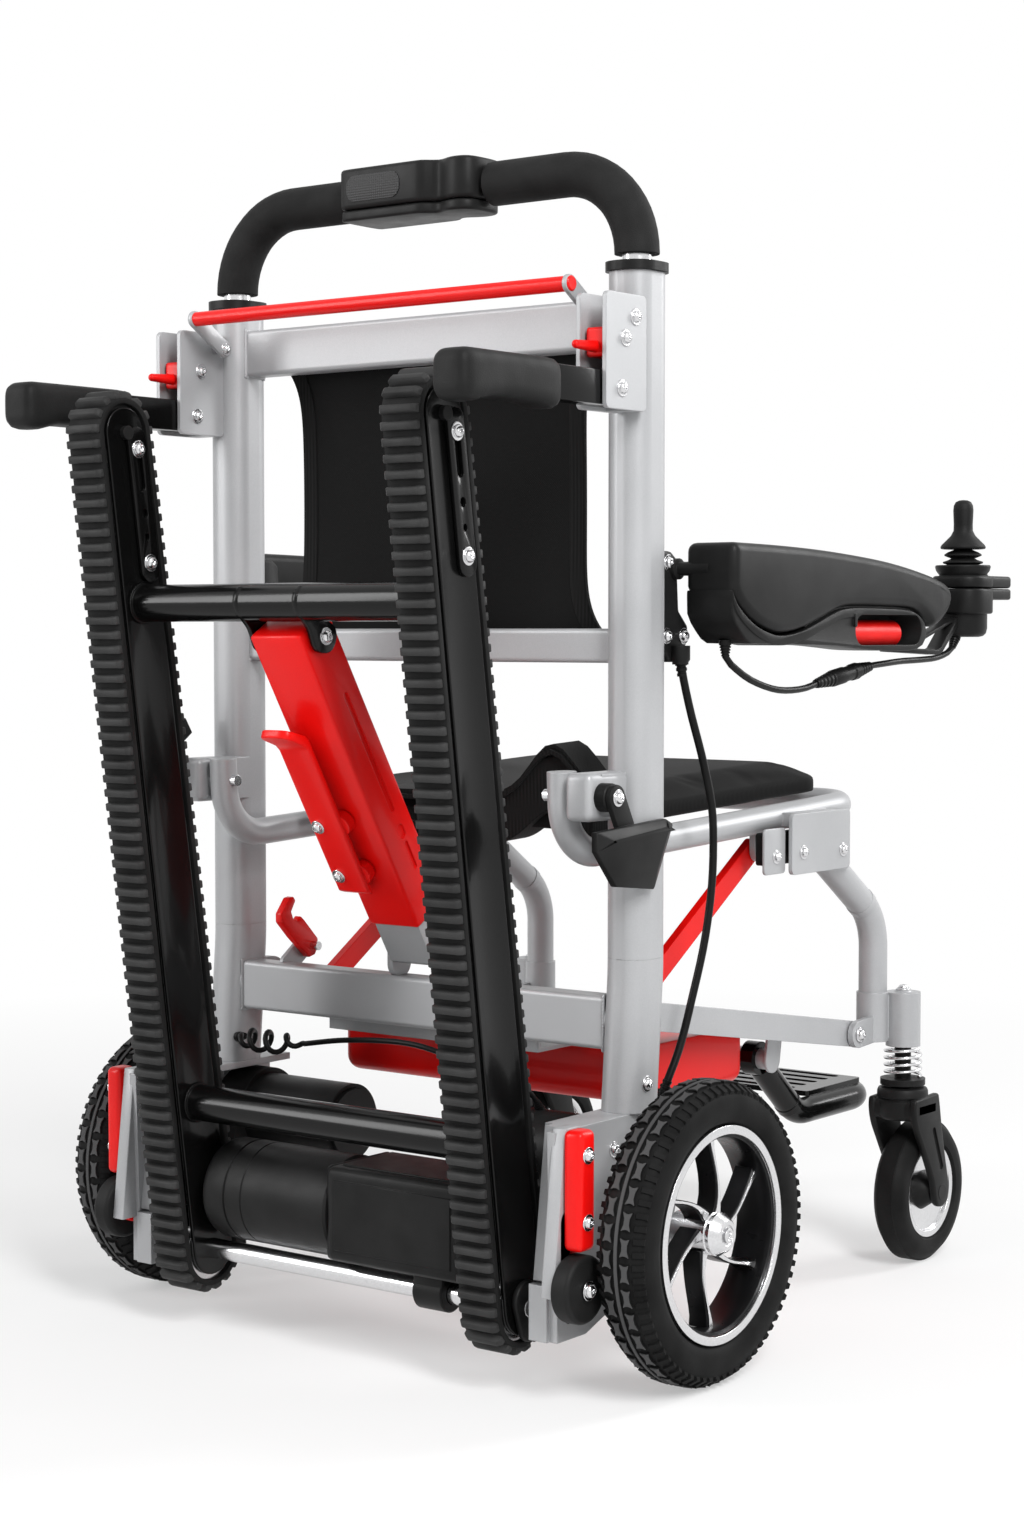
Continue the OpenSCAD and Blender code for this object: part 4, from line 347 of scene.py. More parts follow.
# %% Paint the steelwork
coats = {
    silver_coat: "uprights crossbars lift_brackets wheel_brackets seat_frame side_rails front_legs "
                 "strut_inner",
    red_coat: "braces latch_levers",
    black_coat: "footrest",
    black_plastic: "upright_collars drive_gearmotors climb_switch power_button idlers "
                   "caster_stem_left caster_stem_right",
    grip_rubber: "stair_rollers",
    bright_steel: "handle_tube drive_shaft pivot_pins",
}
for coat, names in coats.items():
    for name in names.split():
        node = nodes[name]
        if not node.material_slots:
            node.data.materials.append(coat)
        for place in node.material_slots:
            place.material = coat
print("painted", sum(len(names.split()) for names in coats.values()), "nodes")

# %% [markdown]
# The floor is white and catches the chair's soft shadow. For the camera and for mirrors it brightens
# towards the distance, where it meets the white of the world, so no horizon line shows.
# Three large soft lamps and the pale world light the chair about as bright as its colours are written.

# %% Floor, lamps and world
def floor_material():
    finish = Finish("studio_floor", grey(0.90), 0.9)
    away = finish.node("ShaderNodeVectorMath", {"operation": "LENGTH"}, {0: finish.here()}, "Value")
    fade = {"Value": away, "From Min": 0.5, "From Max": 2.2, "To Min": 0.42, "To Max": 1.0}
    far = finish.node("ShaderNodeMapRange", None, fade)
    glow = finish.node("ShaderNodeEmission", None, {"Color": (1, 1, 1, 1), "Strength": 1.0})
    skin = Value(finish, finish.skin.outputs[0])
    mixed = finish.node("ShaderNodeMixShader", None, {0: finish.looked_at() * far, 1: skin, 2: glow})
    finish.plug(finish.tree.nodes["Material Output"].inputs["Surface"], mixed)
    return finish.material


bpy.ops.object.select_all(action="DESELECT")
bpy.ops.mesh.primitive_plane_add(size=60, location=(0, 0, 0))
floor = bpy.context.object
floor.name = "floor"
floor.data.materials.append(floor_material())


def soft_lamp(name, place, aim, width, height, power):
    bpy.ops.object.light_add(type="AREA", location=place)
    lamp = bpy.context.object
    lamp.name = name
    lamp.data.shape = "RECTANGLE"
    lamp.data.size = width
    lamp.data.size_y = height
    lamp.data.energy = power
    lamp.rotation_euler = (Vector(aim) - Vector(place)).to_track_quat("-Z", "Y").to_euler()
    return lamp


soft_lamp("key_lamp", (2.6, -1.6, 2.8), (0, 0, 0.4), 0.8, 2.2, 125)
soft_lamp("fill_lamp", (-2.2, -2.6, 1.8), (0, 0, 0.5), 0.7, 2.2, 50)
soft_lamp("rim_lamp", (1.6, 2.8, 2.2), (0, 0, 0.6), 0.8, 2.0, 55)

world = bpy.data.worlds.new("studio")
world.use_nodes = True
bpy.context.scene.world = world
sky = Nodes(world.node_tree)
background = sky.tree.nodes["Background"].inputs
sky.plug(background["Color"], (1, 1, 1, 1))
level = sky.node("ShaderNodeMapRange", None, {"Value": sky.looked_at(), "To Min": 0.36, "To Max": 1.0})
sky.plug(background["Strength"], level)
bpy.context.scene.view_settings.view_transform = "Standard"

# %% [markdown]
# From here on, pieces are modelled as by hand: a primitive is added, faces and points are picked by
# their place, and edit operators shape them. The first helpers select, edit and add.

# %% Selecting and editing
def only(obj):
    """Makes one object the only selected one."""
    bpy.ops.object.select_all(action="DESELECT")
    obj.select_set(True)
    bpy.context.view_layer.objects.active = obj


def edit():
    """Goes into edit mode with everything selected."""
    bpy.ops.object.mode_set(mode="EDIT")
    bpy.ops.mesh.select_all(action="SELECT")


def done():
    """Goes back to object mode."""
    bpy.ops.object.mode_set(mode="OBJECT")


def pick(obj, kind, test):
    """Selects the points, edges or faces whose middle and normal pass a test, in edit mode."""
    bpy.ops.object.mode_set(mode="EDIT")
    bpy.ops.mesh.select_mode(type=kind)
    bpy.ops.mesh.select_all(action="DESELECT")
    done()
    mesh = obj.data
    if kind == "VERT":
        for point in mesh.vertices:
            point.select = bool(test(point.co, point.normal))
    if kind == "EDGE":
        for edge in mesh.edges:
            a, b = (mesh.vertices[i].co for i in edge.vertices)
            edge.select = bool(test((a + b) / 2, b - a))
    if kind == "FACE":
        for face in mesh.polygons:
            face.select = bool(test(face.center, face.normal))
    bpy.ops.object.mode_set(mode="EDIT")


def extrude(way):
    """Extrudes what is selected and moves it."""
    bpy.ops.mesh.extrude_region_move(TRANSFORM_OT_translate={"value": way})


def settle():
    """Writes the selected object's place, turn and scale into its points."""
    bpy.ops.object.transform_apply(location=True, rotation=True, scale=True)


# %% Adding and shaping
def start(add, **sizes):
    """Adds a primitive as the only selected object."""
    bpy.ops.object.select_all(action="DESELECT")
    add(**sizes)
    return bpy.context.object


def block(width, depth, height, place=(0, 0, 0)):
    """A box of three sizes in metres, ready to be shaped."""
    obj = start(bpy.ops.mesh.primitive_cube_add, size=1, location=place)
    obj.scale = (width, depth, height)
    settle()
    return obj


def modify(obj, kind, **settings):
    """Adds a modifier and applies it."""
    only(obj)
    made = obj.modifiers.new(kind.lower(), kind)
    for key, value in settings.items():
        setattr(made, key, value)
    bpy.ops.object.modifier_apply(modifier=made.name)


def soften(obj, width, segments=2, angle=35):
    """Rounds the sharp edges."""
    limit = math.radians(angle)
    modify(obj, "BEVEL", width=width, segments=segments, limit_method="ANGLE", angle_limit=limit)


def cut(obj, cutter):
    """Takes one shape out of another."""
    modify(obj, "BOOLEAN", object=cutter, operation="DIFFERENCE", solver="EXACT")
    bpy.data.objects.remove(cutter)


def face_out(obj):
    """Merges doubles and turns all faces outwards."""
    only(obj)
    edit()
    bpy.ops.mesh.remove_doubles(threshold=0.00002)
    bpy.ops.mesh.normals_make_consistent(inside=False)
    done()


# %% [markdown]
# A shape that repeats is modelled once. Its copies have their own meshes and are joined, and what
# stands on both sides of the chair is mirrored.

# %% Copying
def copied(obj, place):
    """A copy with its own mesh, at a place."""
    copy = obj.copy()
    copy.data = obj.data.copy()
    bpy.context.collection.objects.link(copy)
    copy.matrix_world = place
    return copy


def join(parts):
    """Several objects as one."""
    bpy.ops.object.select_all(action="DESELECT")
    for part in parts:
        part.select_set(True)
    bpy.context.view_layer.objects.active = parts[0]
    if len(parts) > 1:
        bpy.ops.object.join()
    joined = bpy.context.view_layer.objects.active
    only(joined)
    settle()
    return joined


def stamp(master, places):
    """Copies a shape to every place, joins the copies and leaves the shape itself out."""
    copies = [copied(master, place) for place in places]
    bpy.data.objects.remove(master)
    bpy.context.view_layer.update()
    return join(copies)


def mirrored(obj):
    """A copy on the other side of the chair, with its faces turned outwards again."""
    copy = copied(obj, Matrix.Scale(-1, 4, (1, 0, 0)) @ obj.matrix_world)
    only(copy)
    settle()
    edit()
    bpy.ops.mesh.flip_normals()
    done()
    face_out(copy)
    return copy


def both(obj):
    """A shape and its mirror image as one."""
    return join([obj, mirrored(obj)])


# %% [markdown]
# Many shapes start as a line of points. A closed line is filled and pulled out to a plate, and an
# open one is turned round an axle, as on a lathe.

# %% Drawn shapes
def drawn(points):
    """Draws a line through points, one extruded vertex after the other, and leaves it selected."""
    obj = start(bpy.ops.mesh.primitive_plane_add, size=MM)
    bpy.ops.object.mode_set(mode="EDIT")
    bpy.ops.mesh.select_mode(type="VERT")
    bpy.ops.mesh.select_all(action="SELECT")
    bpy.ops.mesh.merge(type="CENTER")
    bpy.ops.transform.translate(value=points[0])
    for a, b in zip(points, points[1:]):
        extrude(b - a)
    bpy.ops.mesh.select_all(action="SELECT")
    return obj


def solid(points, way):
    """Fills a closed line of scene points and pulls the face out."""
    obj = drawn(points)
    bpy.ops.mesh.edge_face_add()
    extrude(way)
    done()
    face_out(obj)
    return obj


def plate(outline, x0, x1):
    """A flat shape with an outline of (y, z) drawing points, given its thickness from x0 to x1."""
    return solid([spot(x0, y, z) for y, z in outline], ((x1 - x0) * MM, 0, 0))


def lathe(profile, place, steps=64, axis=(1, 0, 0), out=(0, 0, 1)):
    """Turns a line of (along, radius) points in millimetres round an axle."""
    axis, out, place = Vector(axis), Vector(out), Vector(place)
    obj = drawn([place + axis * (along * MM) + out * (radius * MM) for along, radius in profile])
    bpy.ops.mesh.spin(steps=steps, angle=math.tau, center=place, axis=axis)
    done()
    face_out(obj)
    return obj


def lathe_up(profile, place, steps):
    """Turns a line of (height, radius) points round an upright axle."""
    return lathe(profile, place, steps, (0, 0, 1), (1, 0, 0))


# %% [markdown]
# Every piece ends with the same steps: its name, its finish and the body it moves with.


def finished(obj, name, body, coat, *hidden):
    """Names a piece, gives it a finish and the body it rides on, and hides the nodes it stands for."""
    only(obj)
    settle()
    bpy.ops.object.shade_smooth_by_angle(angle=math.radians(38))
    obj.name = name
    obj.data.materials.clear()
    obj.data.materials.append(coat)
    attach(obj, body)
    if hidden:
        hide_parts(*hidden)
    print(name, "has", len(obj.data.polygons), "faces")
    return obj


def pair(obj, name, body, coat, node=None):
    """Finishes a right-hand piece and its mirror image, each on the body of its side."""
    other = mirrored(obj)
    for side, piece in (("right", obj), ("left", other)):
        hidden = [node + side] if node else []
        finished(piece, name + side, body + side, coat, *hidden)

# %% [markdown]
# Cables come first. Each follows the route of the drawing: straight out of its exit, down in a slack
# curve and into the next piece. A route is a few points, and a spline through them gives the
# smooth bends of a real cable. A curve with a round bevel is the cable itself.

# %% Routes and cables
def smooth(points, count):
    """Evenly placed points on a spline through the points of a route."""
    ends = [points[0] * 2 - points[1]] + points + [points[-1] * 2 - points[-2]]
    dense = []
    for i in range(1, len(ends) - 2):
        a, b, c, d = ends[i - 1], ends[i], ends[i + 1], ends[i + 2]
        for step in range(16):
            t = step / 16
            dense.append(0.5 * (b * 2 + (c - a) * t + (a * 2 - b * 5 + c * 4 - d) * t ** 2
                                + (b * 3 - a - c * 3 + d) * t ** 3))
    dense.append(points[-1])
    run = [0.0]
    for a, b in zip(dense, dense[1:]):
        run.append(run[-1] + (b - a).length)
    even = []
    at = 0
    for k in range(count):
        goal = run[-1] * k / (count - 1)
        while at < len(run) - 2 and run[at + 1] < goal:
            at += 1
        share = (goal - run[at]) / max(run[at + 1] - run[at], 1e-9)
        even.append(dense[at].lerp(dense[at + 1], share))
    return even


def length_of(points):
    return sum((b - a).length for a, b in zip(points, points[1:]))


def wire(name, points, radius, roundness):
    """A curve with a round bevel along scene points."""
    line = bpy.data.curves.new(name, "CURVE")
    line.dimensions = "3D"
    line.bevel_depth = radius
    line.bevel_resolution = roundness
    line.use_fill_caps = True
    spline = line.splines.new("POLY")
    spline.points.add(len(points) - 1)
    for target, point in zip(spline.points, points):
        target.co = (*point, 1)
    obj = bpy.data.objects.new(name, line)
    bpy.context.collection.objects.link(obj)
    return obj


def meshed(obj):
    """A curve as a mesh."""
    only(obj)
    bpy.ops.object.convert(target="MESH")
    return bpy.context.object


def cable(name, points, diameter, body, node):
    """A round cable along the points, riding on a body in place of a CAD cord."""
    obj = wire(name, points, diameter / 2, 4)
    obj.data.materials.append(cable_skin)
    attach(obj, body)
    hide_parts(node)
    print(name, "is", round(length_of(points), 3), "m long")
    return obj


# %% Boots on the ends
def turned(place, way, line):
    """A shape turned round a line from a point along a direction, with its sizes in millimetres."""
    axis = Vector(way).normalized()
    return lathe(line, place, 24, axis, axis.orthogonal().normalized())


def boot(place, way, wide, thin, reach):
    """A ribbed strain relief that narrows from a housing towards the cable."""
    line = [(-3, 0), (-3, wide), (1.5, wide)]
    pitch = (reach - 1.5) / 4
    for k in range(4):
        r = wide + (thin - wide) * (k + 1) / 4
        a = 1.5 + pitch * k
        line += [(a + 0.1 * pitch, r * 0.86), (a + 0.4 * pitch, r * 0.86)]
        line += [(a + 0.5 * pitch, r), (a + pitch, r)]
    return turned(place, way, line + [(reach, 0)])


def boots(name, points, body, wide, thin, reach):
    """One boot where a cable leaves its housing, and one where it goes in again."""
    ends = [boot(points[0], points[1] - points[0], wide, thin, reach),
            boot(points[-1], points[-2] - points[-1], wide, thin, reach)]
    return finished(join(ends), name, body, cable_skin)


# %% Armrest cable
arm_route = [spot(*p) for p in (
    (238.5, 54, 606), (239, 56, 590), (241, 66, 556), (243, 82, 515), (246, 92, 475), (246, 95, 440),
    (246, 92, 400), (244, 84, 355), (240, 72, 310), (236, 60, 270), (232, 46, 240), (228, 40, 222))]
arm_points = smooth(arm_route, 36)
arm_cable = cable("arm_cable", arm_points, 0.007, "frame", "armrest_cable")
arm_boots = boots("arm_boots", arm_points, "frame", 6.4, 4.2, 20)
length_of(arm_points)

# %% [markdown]
# The joystick's lead can be unplugged when the armrest comes off. Its connector is two turned halves
# with ribbed tails and a waist between them, drawn as one line of points.

# %% Joystick lead and its connector
lead_route = [spot(*p) for p in (
    (270, 75, 614), (270, 76, 602), (270, 92, 592), (270, 120, 581), (270, 160, 573), (270, 200, 573),
    (270, 230, 578), (270, 260, 583), (270, 290, 588), (270, 320, 592), (269, 350, 594), (268, 385, 596),
    (267, 425, 597), (266, 460, 599), (265, 488, 606), (265, 497, 618))]
lead_points = smooth(lead_route, 40)
stick_lead = cable("stick_lead", lead_points, 0.006, "arm_right", "joystick_lead")
lead_boots = boots("lead_boots", lead_points, "arm_right", 5.4, 3.6, 11)


def tail(first, last, wide, thin):
    """Ribs that narrow from one radius to another, as a line of points."""
    line = []
    for k in range(5):
        r = wide + (thin - wide) * k / 4
        pitch = (last - first) / 5
        a = first + pitch * k
        line += [(a, r), (a + 0.55 * pitch, r)]
        line += [(a + 0.65 * pitch, r * 0.8), (a + 0.95 * pitch, r * 0.8)]
    return line


front_half = [(62, 7.6), (70, 7.8)] + tail(71, 98, 7, 4.6) + [(98, 0)]
rear_half = list(reversed(tail(27, 0, 7, 4.6))) + [(28, 7.6), (47, 7.6), (47.8, 6.8), (61.2, 6.8)]
plug_way = spot(270, 320, 592) - spot(270, 260, 583)
plug = turned(spot(270, 226, 577.4), plug_way, [(-1, 0), (-1, 4)] + rear_half + front_half)
finished(plug, "lead_connector", "arm_right", black_plastic)
length_of(lead_points)

# %% [markdown]
# The power lead crosses behind the low bar to the right wheel motor. It starts as a curl, like a
# telephone cord, which takes up its spare length. The radius of this helix grows and shrinks again.

# %% Power lead
CURLS = 4
curl_points = []
for i in range(65):
    f = i / 64
    turn = math.tau * CURLS * f
    r = 9 * min(1, 4 * f, 4 * (1 - f))
    back = -20 - 14 * f + r * (math.cos(turn) - 1)
    curl_points.append(spot(-204.5 + 92.5 * f, back, 246 + 4 * f + r * math.sin(turn)))
run_route = [curl_points[-1]] + [spot(*p) for p in (
    (-110, -36, 250), (-60, -36, 258), (0, -36, 262), (40, -34, 258), (78, -24, 244), (102, -8, 233),
    (116, 6, 222), (120, 14, 208.2))]
power_points = curl_points[:-1] + smooth(run_route, 34)
motor_lead = cable("motor_lead", power_points, 0.005, "frame", "power_lead")
power_boots = boots("power_boots", power_points, "frame", 4.6, 3.0, 9)
length_of(power_points)

# %% [markdown]
# The climbing belts are the part that grips the stairs: a rubber loop with a bar-shaped lug across it
# every twelve millimetres or so. An open cylinder becomes the loop when its top half is
# moved up to the idler, and one lug, a block with sloped flanks and lower ends, is copied along it.

# %% Track frame and belt loop
SHAFT_Y = -108
SHAFT_Z = 70
IDLER_Y = -211
IDLER_Z = 793.7
LEAN = math.radians(8.1)
TRACK = Matrix.Translation(spot(0, SHAFT_Y, SHAFT_Z)) @ Matrix.Rotation(LEAN, 4, "X")
TRACK_LENGTH = math.hypot(IDLER_Y - SHAFT_Y, IDLER_Z - SHAFT_Z) * MM
LOW_R = 0.034
TOP_R = 0.030
BELT_MID = 0.1745
BELT_W = 0.039


def belt_loop():
    loop = start(bpy.ops.mesh.primitive_cylinder_add, vertices=96, radius=LOW_R, depth=BELT_W,
                 end_fill_type="NOTHING", rotation=(0, math.radians(90), 0))
    settle()
    pick(loop, "VERT", lambda p, n: p.z > 0.0005)
    bpy.ops.transform.translate(value=(0, 0, TRACK_LENGTH))
    squeeze = TOP_R / LOW_R
    bpy.ops.transform.resize(value=(1, squeeze, squeeze), center_override=(0, 0, TRACK_LENGTH))
    done()
    modify(loop, "SOLIDIFY", thickness=0.005, offset=-1)
    soften(loop, 0.0008, 2, 50)
    return loop


loop = belt_loop()
print("belt loop", loop.dimensions)

# %% One lug
def lug():
    bar = block(0.031, 0.0080, 0.0076, (0, 0, 0.0026))
    pick(bar, "FACE", lambda p, n: abs(n.x) > 0.9)
    bpy.ops.mesh.extrude_region_shrink_fatten(TRANSFORM_OT_shrink_fatten={"value": 0.0032})
    bpy.ops.transform.resize(value=(1, 0.86, 0.62), center_override=(0, 0, -0.0012))
    pick(bar, "FACE", lambda p, n: n.z > 0.9)
    bpy.ops.transform.resize(value=(0.985, 0.70, 1))
    done()
    soften(bar, 0.0007, 1, 40)
    return bar


def belt_places(count):
    """Where the lugs sit: round the shaft, up the rear run, over the idler and down the front run."""
    run = math.hypot(TRACK_LENGTH, LOW_R - TOP_R)
    parts = (math.pi * LOW_R, run, math.pi * TOP_R, run)
    places = []
    for k in range(count):
        s = sum(parts) * k / count
        if s < parts[0]:
            bend = s / LOW_R
            out = Vector((0, math.cos(bend), -math.sin(bend)))
            centre = out * LOW_R
        elif s < parts[0] + parts[1]:
            share = (s - parts[0]) / run
            out = Vector((0, -1, 0))
            centre = out * (LOW_R + (TOP_R - LOW_R) * share)
            centre.z = TRACK_LENGTH * share
        elif s < sum(parts[:3]):
            bend = (s - parts[0] - parts[1]) / TOP_R
            out = Vector((0, -math.cos(bend), math.sin(bend)))
            centre = out * TOP_R + Vector((0, 0, TRACK_LENGTH))
        else:
            share = (s - sum(parts[:3])) / run
            out = Vector((0, 1, 0))
            centre = out * (TOP_R + (LOW_R - TOP_R) * share)
            centre.z = TRACK_LENGTH * (1 - share)
        places.append((centre, out))
    return places


LUGS = 132
lug_places = []
for centre, out in belt_places(LUGS):
    tilt = Matrix.Rotation(math.atan2(-out.y, out.z), 4, "X")
    lug_places.append(Matrix.Translation(centre) @ tilt)
lugs = stamp(lug(), lug_places)
print("one belt has", LUGS, "lugs", lugs.dimensions)

# %% Left and right belts
both_sides = [TRACK @ Matrix.Translation((x, 0, 0)) for x in (-BELT_MID, BELT_MID)]
finished(stamp(loop, both_sides), "climbing_belts", "track", belt_rubber, "track_belts")
# The lugs are painted paler than the loop, a painted highlight.
finished(stamp(lugs, both_sides), "belt_lugs", "track", lug_rubber_highlit)

# %% [markdown]
# The rear tyre is a solid rubber tyre with a road tread. Its section is a line of points turned
# round the axle: bead, bulging sidewall, shoulder and a thin rib in the middle of the tread.
# Waisted blocks beside the rib and short bars on the shoulders are modelled once and copied round.

# %% Tyre section
WHEEL = spot(298, 0, AXLE_HIGH)


def two_sided(half):
    """A closed line whose second half mirrors the first."""
    return half + tuple((-a, r) for a, r in reversed(half)) + half[:1]


tyre_half = ((-17, 91), (-21.5, 94), (-23.6, 100), (-23.9, 107), (-22.8, 114), (-19.5, 120), (-13, 123.6),
             (-4, 124.8), (-1.7, 124.8), (-1.4, 126.6))
tyre = lathe(two_sided(tyre_half), WHEEL, 120)
print("tyre", tyre.dimensions)

# %% Tread blocks
def tread_block():
    piece = block(0.0084, 0.0150, 0.0034)
    edit()
    bpy.ops.mesh.subdivide(number_cuts=2)
    pick(piece, "VERT", lambda p, n: abs(p.y) < 0.003)
    bpy.ops.transform.resize(value=(0.58, 1, 1))
    pick(piece, "VERT", lambda p, n: abs(p.x) < 0.002 and abs(p.y) > 0.005)
    bpy.ops.transform.resize(value=(1, 0.84, 1))
    done()
    return piece


def shoulder_bar():
    piece = block(0.0105, 0.0056, 0.0034)
    pick(piece, "FACE", lambda p, n: n.z > 0.9)
    bpy.ops.transform.resize(value=(0.9, 0.78, 1))
    done()
    return piece


def round_wheel(centre, count, phase, along, radius, tilt):
    """Places round an axle along X, each at a distance along it and tipped over by tilt."""
    places = []
    for k in range(count):
        turn = Matrix.Rotation(math.tau * (k + phase) / count, 4, "X")
        seat = Matrix.Translation((along * MM, 0, radius * MM))
        lean = Matrix.Rotation(math.radians(tilt), 4, "Y")
        places.append(Matrix.Translation(centre) @ turn @ seat @ lean)
    return places


BLOCKS = 38
BARS = 74
inner_rows = round_wheel(WHEEL, BLOCKS, 0, 8.4, 124.9, 4)
inner_rows += round_wheel(WHEEL, BLOCKS, 0.5, -8.4, 124.9, -4)
blocks = stamp(tread_block(), inner_rows)
outer_rows = round_wheel(WHEEL, BARS, 0, 18.2, 120.3, 33)
outer_rows += round_wheel(WHEEL, BARS, 0.5, -18.2, 120.3, -33)
bars = stamp(shoulder_bar(), outer_rows)
tyre = join([tyre, blocks, bars])
pair(tyre, "tread_tyre_", "wheel_", tread_rubber, "tyre_")

# %% [markdown]
# The rim is cast aluminium, painted black and then machined, so its outer lip, hub and the front
# edges of its spokes are bare metal. A spoke starts as a small plane at the hub that is extruded
# step by step outwards along a curve, and narrows and flares on the way.

# %% Rim barrel, lip and hub
barrel_line = ((-20, 91), (-20, 85), (-9, 80), (10, 78), (17.5, 80.5), (17.5, 91), (-20, 91))
lip_line = ((17.5, 83), (20, 82.6), (21.6, 83.4), (22.2, 84.8), (22.2, 88.4), (21.4, 90.5), (17.5, 91),
            (17.5, 83))
hub_line = ((-62, 0), (-62, 9), (-24, 9), (-24, 15), (-9, 15), (-8, 18), (12, 18), (13, 16.8),
            (14.2, 16.8), (15, 18), (17, 18), (18, 17), (23.5, 14), (25, 12.4), (25, 9), (23.4, 8.6),
            (23.4, 6.4), (26.6, 6.2), (26.8, 4), (25.2, 3.4), (25.2, 0))
barrel = lathe(barrel_line, WHEEL, 96)
lip = lathe(lip_line, WHEEL, 96)
hub = lathe(hub_line, WHEEL, 48)
print("rim barrel", barrel.dimensions, "hub", hub.dimensions)

# %% Spokes
SPOKE_FROM = 15
SPOKE_TO = 79


def spoke(back, front, widths):
    """A curved blade in the wheel's plane, with its front face turned outwards."""
    steps = len(widths)
    line = []
    for k in range(steps):
        t = k / (steps - 1)
        r = SPOKE_FROM + (SPOKE_TO - SPOKE_FROM) * t
        bend = math.radians(34 * (1 - t) ** 1.6)
        line.append(Vector((back, r * math.sin(bend), r * math.cos(bend))) * MM)
    piece = start(bpy.ops.mesh.primitive_plane_add, size=MM)
    edit()
    bpy.ops.transform.resize(value=(front - back, widths[0], 1))
    bpy.ops.transform.translate(value=line[0] + Vector(((front - back) * MM / 2, 0, 0)))
    for k in range(1, steps):
        extrude(line[k] - line[k - 1])
        middle = line[k] + Vector(((front - back) * MM / 2, 0, 0))
        bpy.ops.transform.resize(value=(1, widths[k] / widths[k - 1], 1), center_override=middle)
    done()
    face_out(piece)
    return piece


def six(piece):
    return stamp(piece, round_wheel(WHEEL, 6, 0, 0, 0, 0))


flanks = six(spoke(-10, 8, (14, 9, 5.6, 4.2, 3.6, 3.8, 4.6, 6.4, 11)))
faces = six(spoke(8, 9.4, (9, 5.2, 3.2, 2.3, 2.0, 2.0, 2.4, 3.4, 6)))
soften(flanks, 0.0006, 1, 40)
rim_black = join([barrel, flanks])
rim_bright = join([lip, hub, faces])
pair(rim_black, "rim_cast_", "wheel_", rim_paint, "rim_")
pair(rim_bright, "rim_machined_", "wheel_", bright_steel)

# %% [markdown]
# The casters have a smooth tyre with a flat running band, a bright rim ring with a dished disc, and
# a black hub. All are turned shapes round the same axle.

# %% Caster wheels
CASTER_X = 227
CASTER_Y = 502
CASTER_Z = 70
CASTER = spot(CASTER_X, CASTER_Y, CASTER_Z)
caster_half = ((-12, 46), (-16, 48.5), (-17, 55), (-15.6, 62), (-11, 67), (-8.6, 68.4), (-8.2, 69.9))
rim_half = ((-12, 46.2), (-13.6, 46), (-13.8, 43), (-12.6, 40.5), (-9, 39), (-4.4, 18), (-4.4, 9))
hub_half = ((-17.6, 5), (-17.6, 11), (-15, 12.5), (-4, 20))
caster_tyre = lathe(two_sided(caster_half), CASTER, 96)
caster_rim = lathe(two_sided(rim_half), CASTER, 72)
caster_hub = lathe(two_sided(hub_half), CASTER, 48)
pair(caster_tyre, "caster_tyre_", "front_wheel_", tyre_rubber, "caster_wheel_")
pair(caster_rim, "caster_disc_", "front_wheel_", bright_steel)
pair(caster_hub, "caster_hub_", "front_wheel_", black_plastic)

# %% [markdown]
# A coil spring rests on the caster stem. A helix curve with a round bevel is the wire.

# %% Caster springs
STEM_Y = 468
COIL_R = 17.5
TURNS = 4


def spring(side):
    sign = 1 if side == "right" else -1
    line = []
    for k in range(97):
        t = k / 96
        turn = math.tau * TURNS * t
        x = sign * CASTER_X + COIL_R * math.cos(turn)
        y = STEM_Y + COIL_R * math.sin(turn)
        line.append(spot(x, y, 188.2 + 27.4 * t))
    obj = meshed(wire("coil_" + side, line, 0.0016, 3))
    finished(obj, "spring_coil_" + side, "legs", bright_steel, "caster_spring_" + side)
    upper_end = spot(sign * CASTER_X, STEM_Y, 218)
    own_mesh(obj)


spring("right")
spring("left")

# %% [markdown]
# The seat pad is foam in a nylon cover: thick behind, thin at its front edge, with sloping sides. A
# block is given round corners and an inset, raised top, remeshed finely, and then blown up a little
# by Blender's cloth simulation, so that the cover is tight and its edges swell as real fabric does.

# %% Seat pad
SEAT = Matrix.Translation(spot(0, -4, 438)) @ Matrix.Rotation(math.radians(2.6), 4, "X")
PAD_BASE = 0.0131


def pad_block():
    pad = block(0.352, 0.398, 0.014, (0, 0.220, PAD_BASE + 0.007))
    pick(pad, "EDGE", lambda p, d: abs(d.z) > 0.01)
    bpy.ops.mesh.bevel(offset=0.030, segments=6, affect="EDGES")
    pick(pad, "FACE", lambda p, n: n.z > 0.9)
    bpy.ops.mesh.inset(thickness=0.040, depth=0.0)
    bpy.ops.transform.translate(value=(0, -0.012, 0.011))
    done()
    pad.data.remesh_voxel_size = 0.006
    only(pad)
    bpy.ops.object.voxel_remesh()
    return pad


def swell(piece, pressure, most):
    """Blows a closed cover up by cloth simulation, and holds each point within a distance of its start."""
    before = [point.co.copy() for point in piece.data.vertices]
    cloth = piece.modifiers.new("swell", "CLOTH")
    cloth.settings.use_pressure = True
    cloth.settings.uniform_pressure_force = pressure
    cloth.settings.effector_weights.gravity = 0
    cloth.settings.mass = 0.3
    cloth.settings.tension_stiffness = 15
    cloth.settings.compression_stiffness = 15
    for number in range(1, 21):
        bpy.context.scene.frame_set(number)
    only(piece)
    bpy.ops.object.modifier_apply(modifier=cloth.name)
    bpy.context.scene.frame_set(1)
    for point, old in zip(piece.data.vertices, before):
        move = point.co - old
        if move.length > most:
            point.co = old + move * (most / move.length)
        point.co.z = max(point.co.z, PAD_BASE)


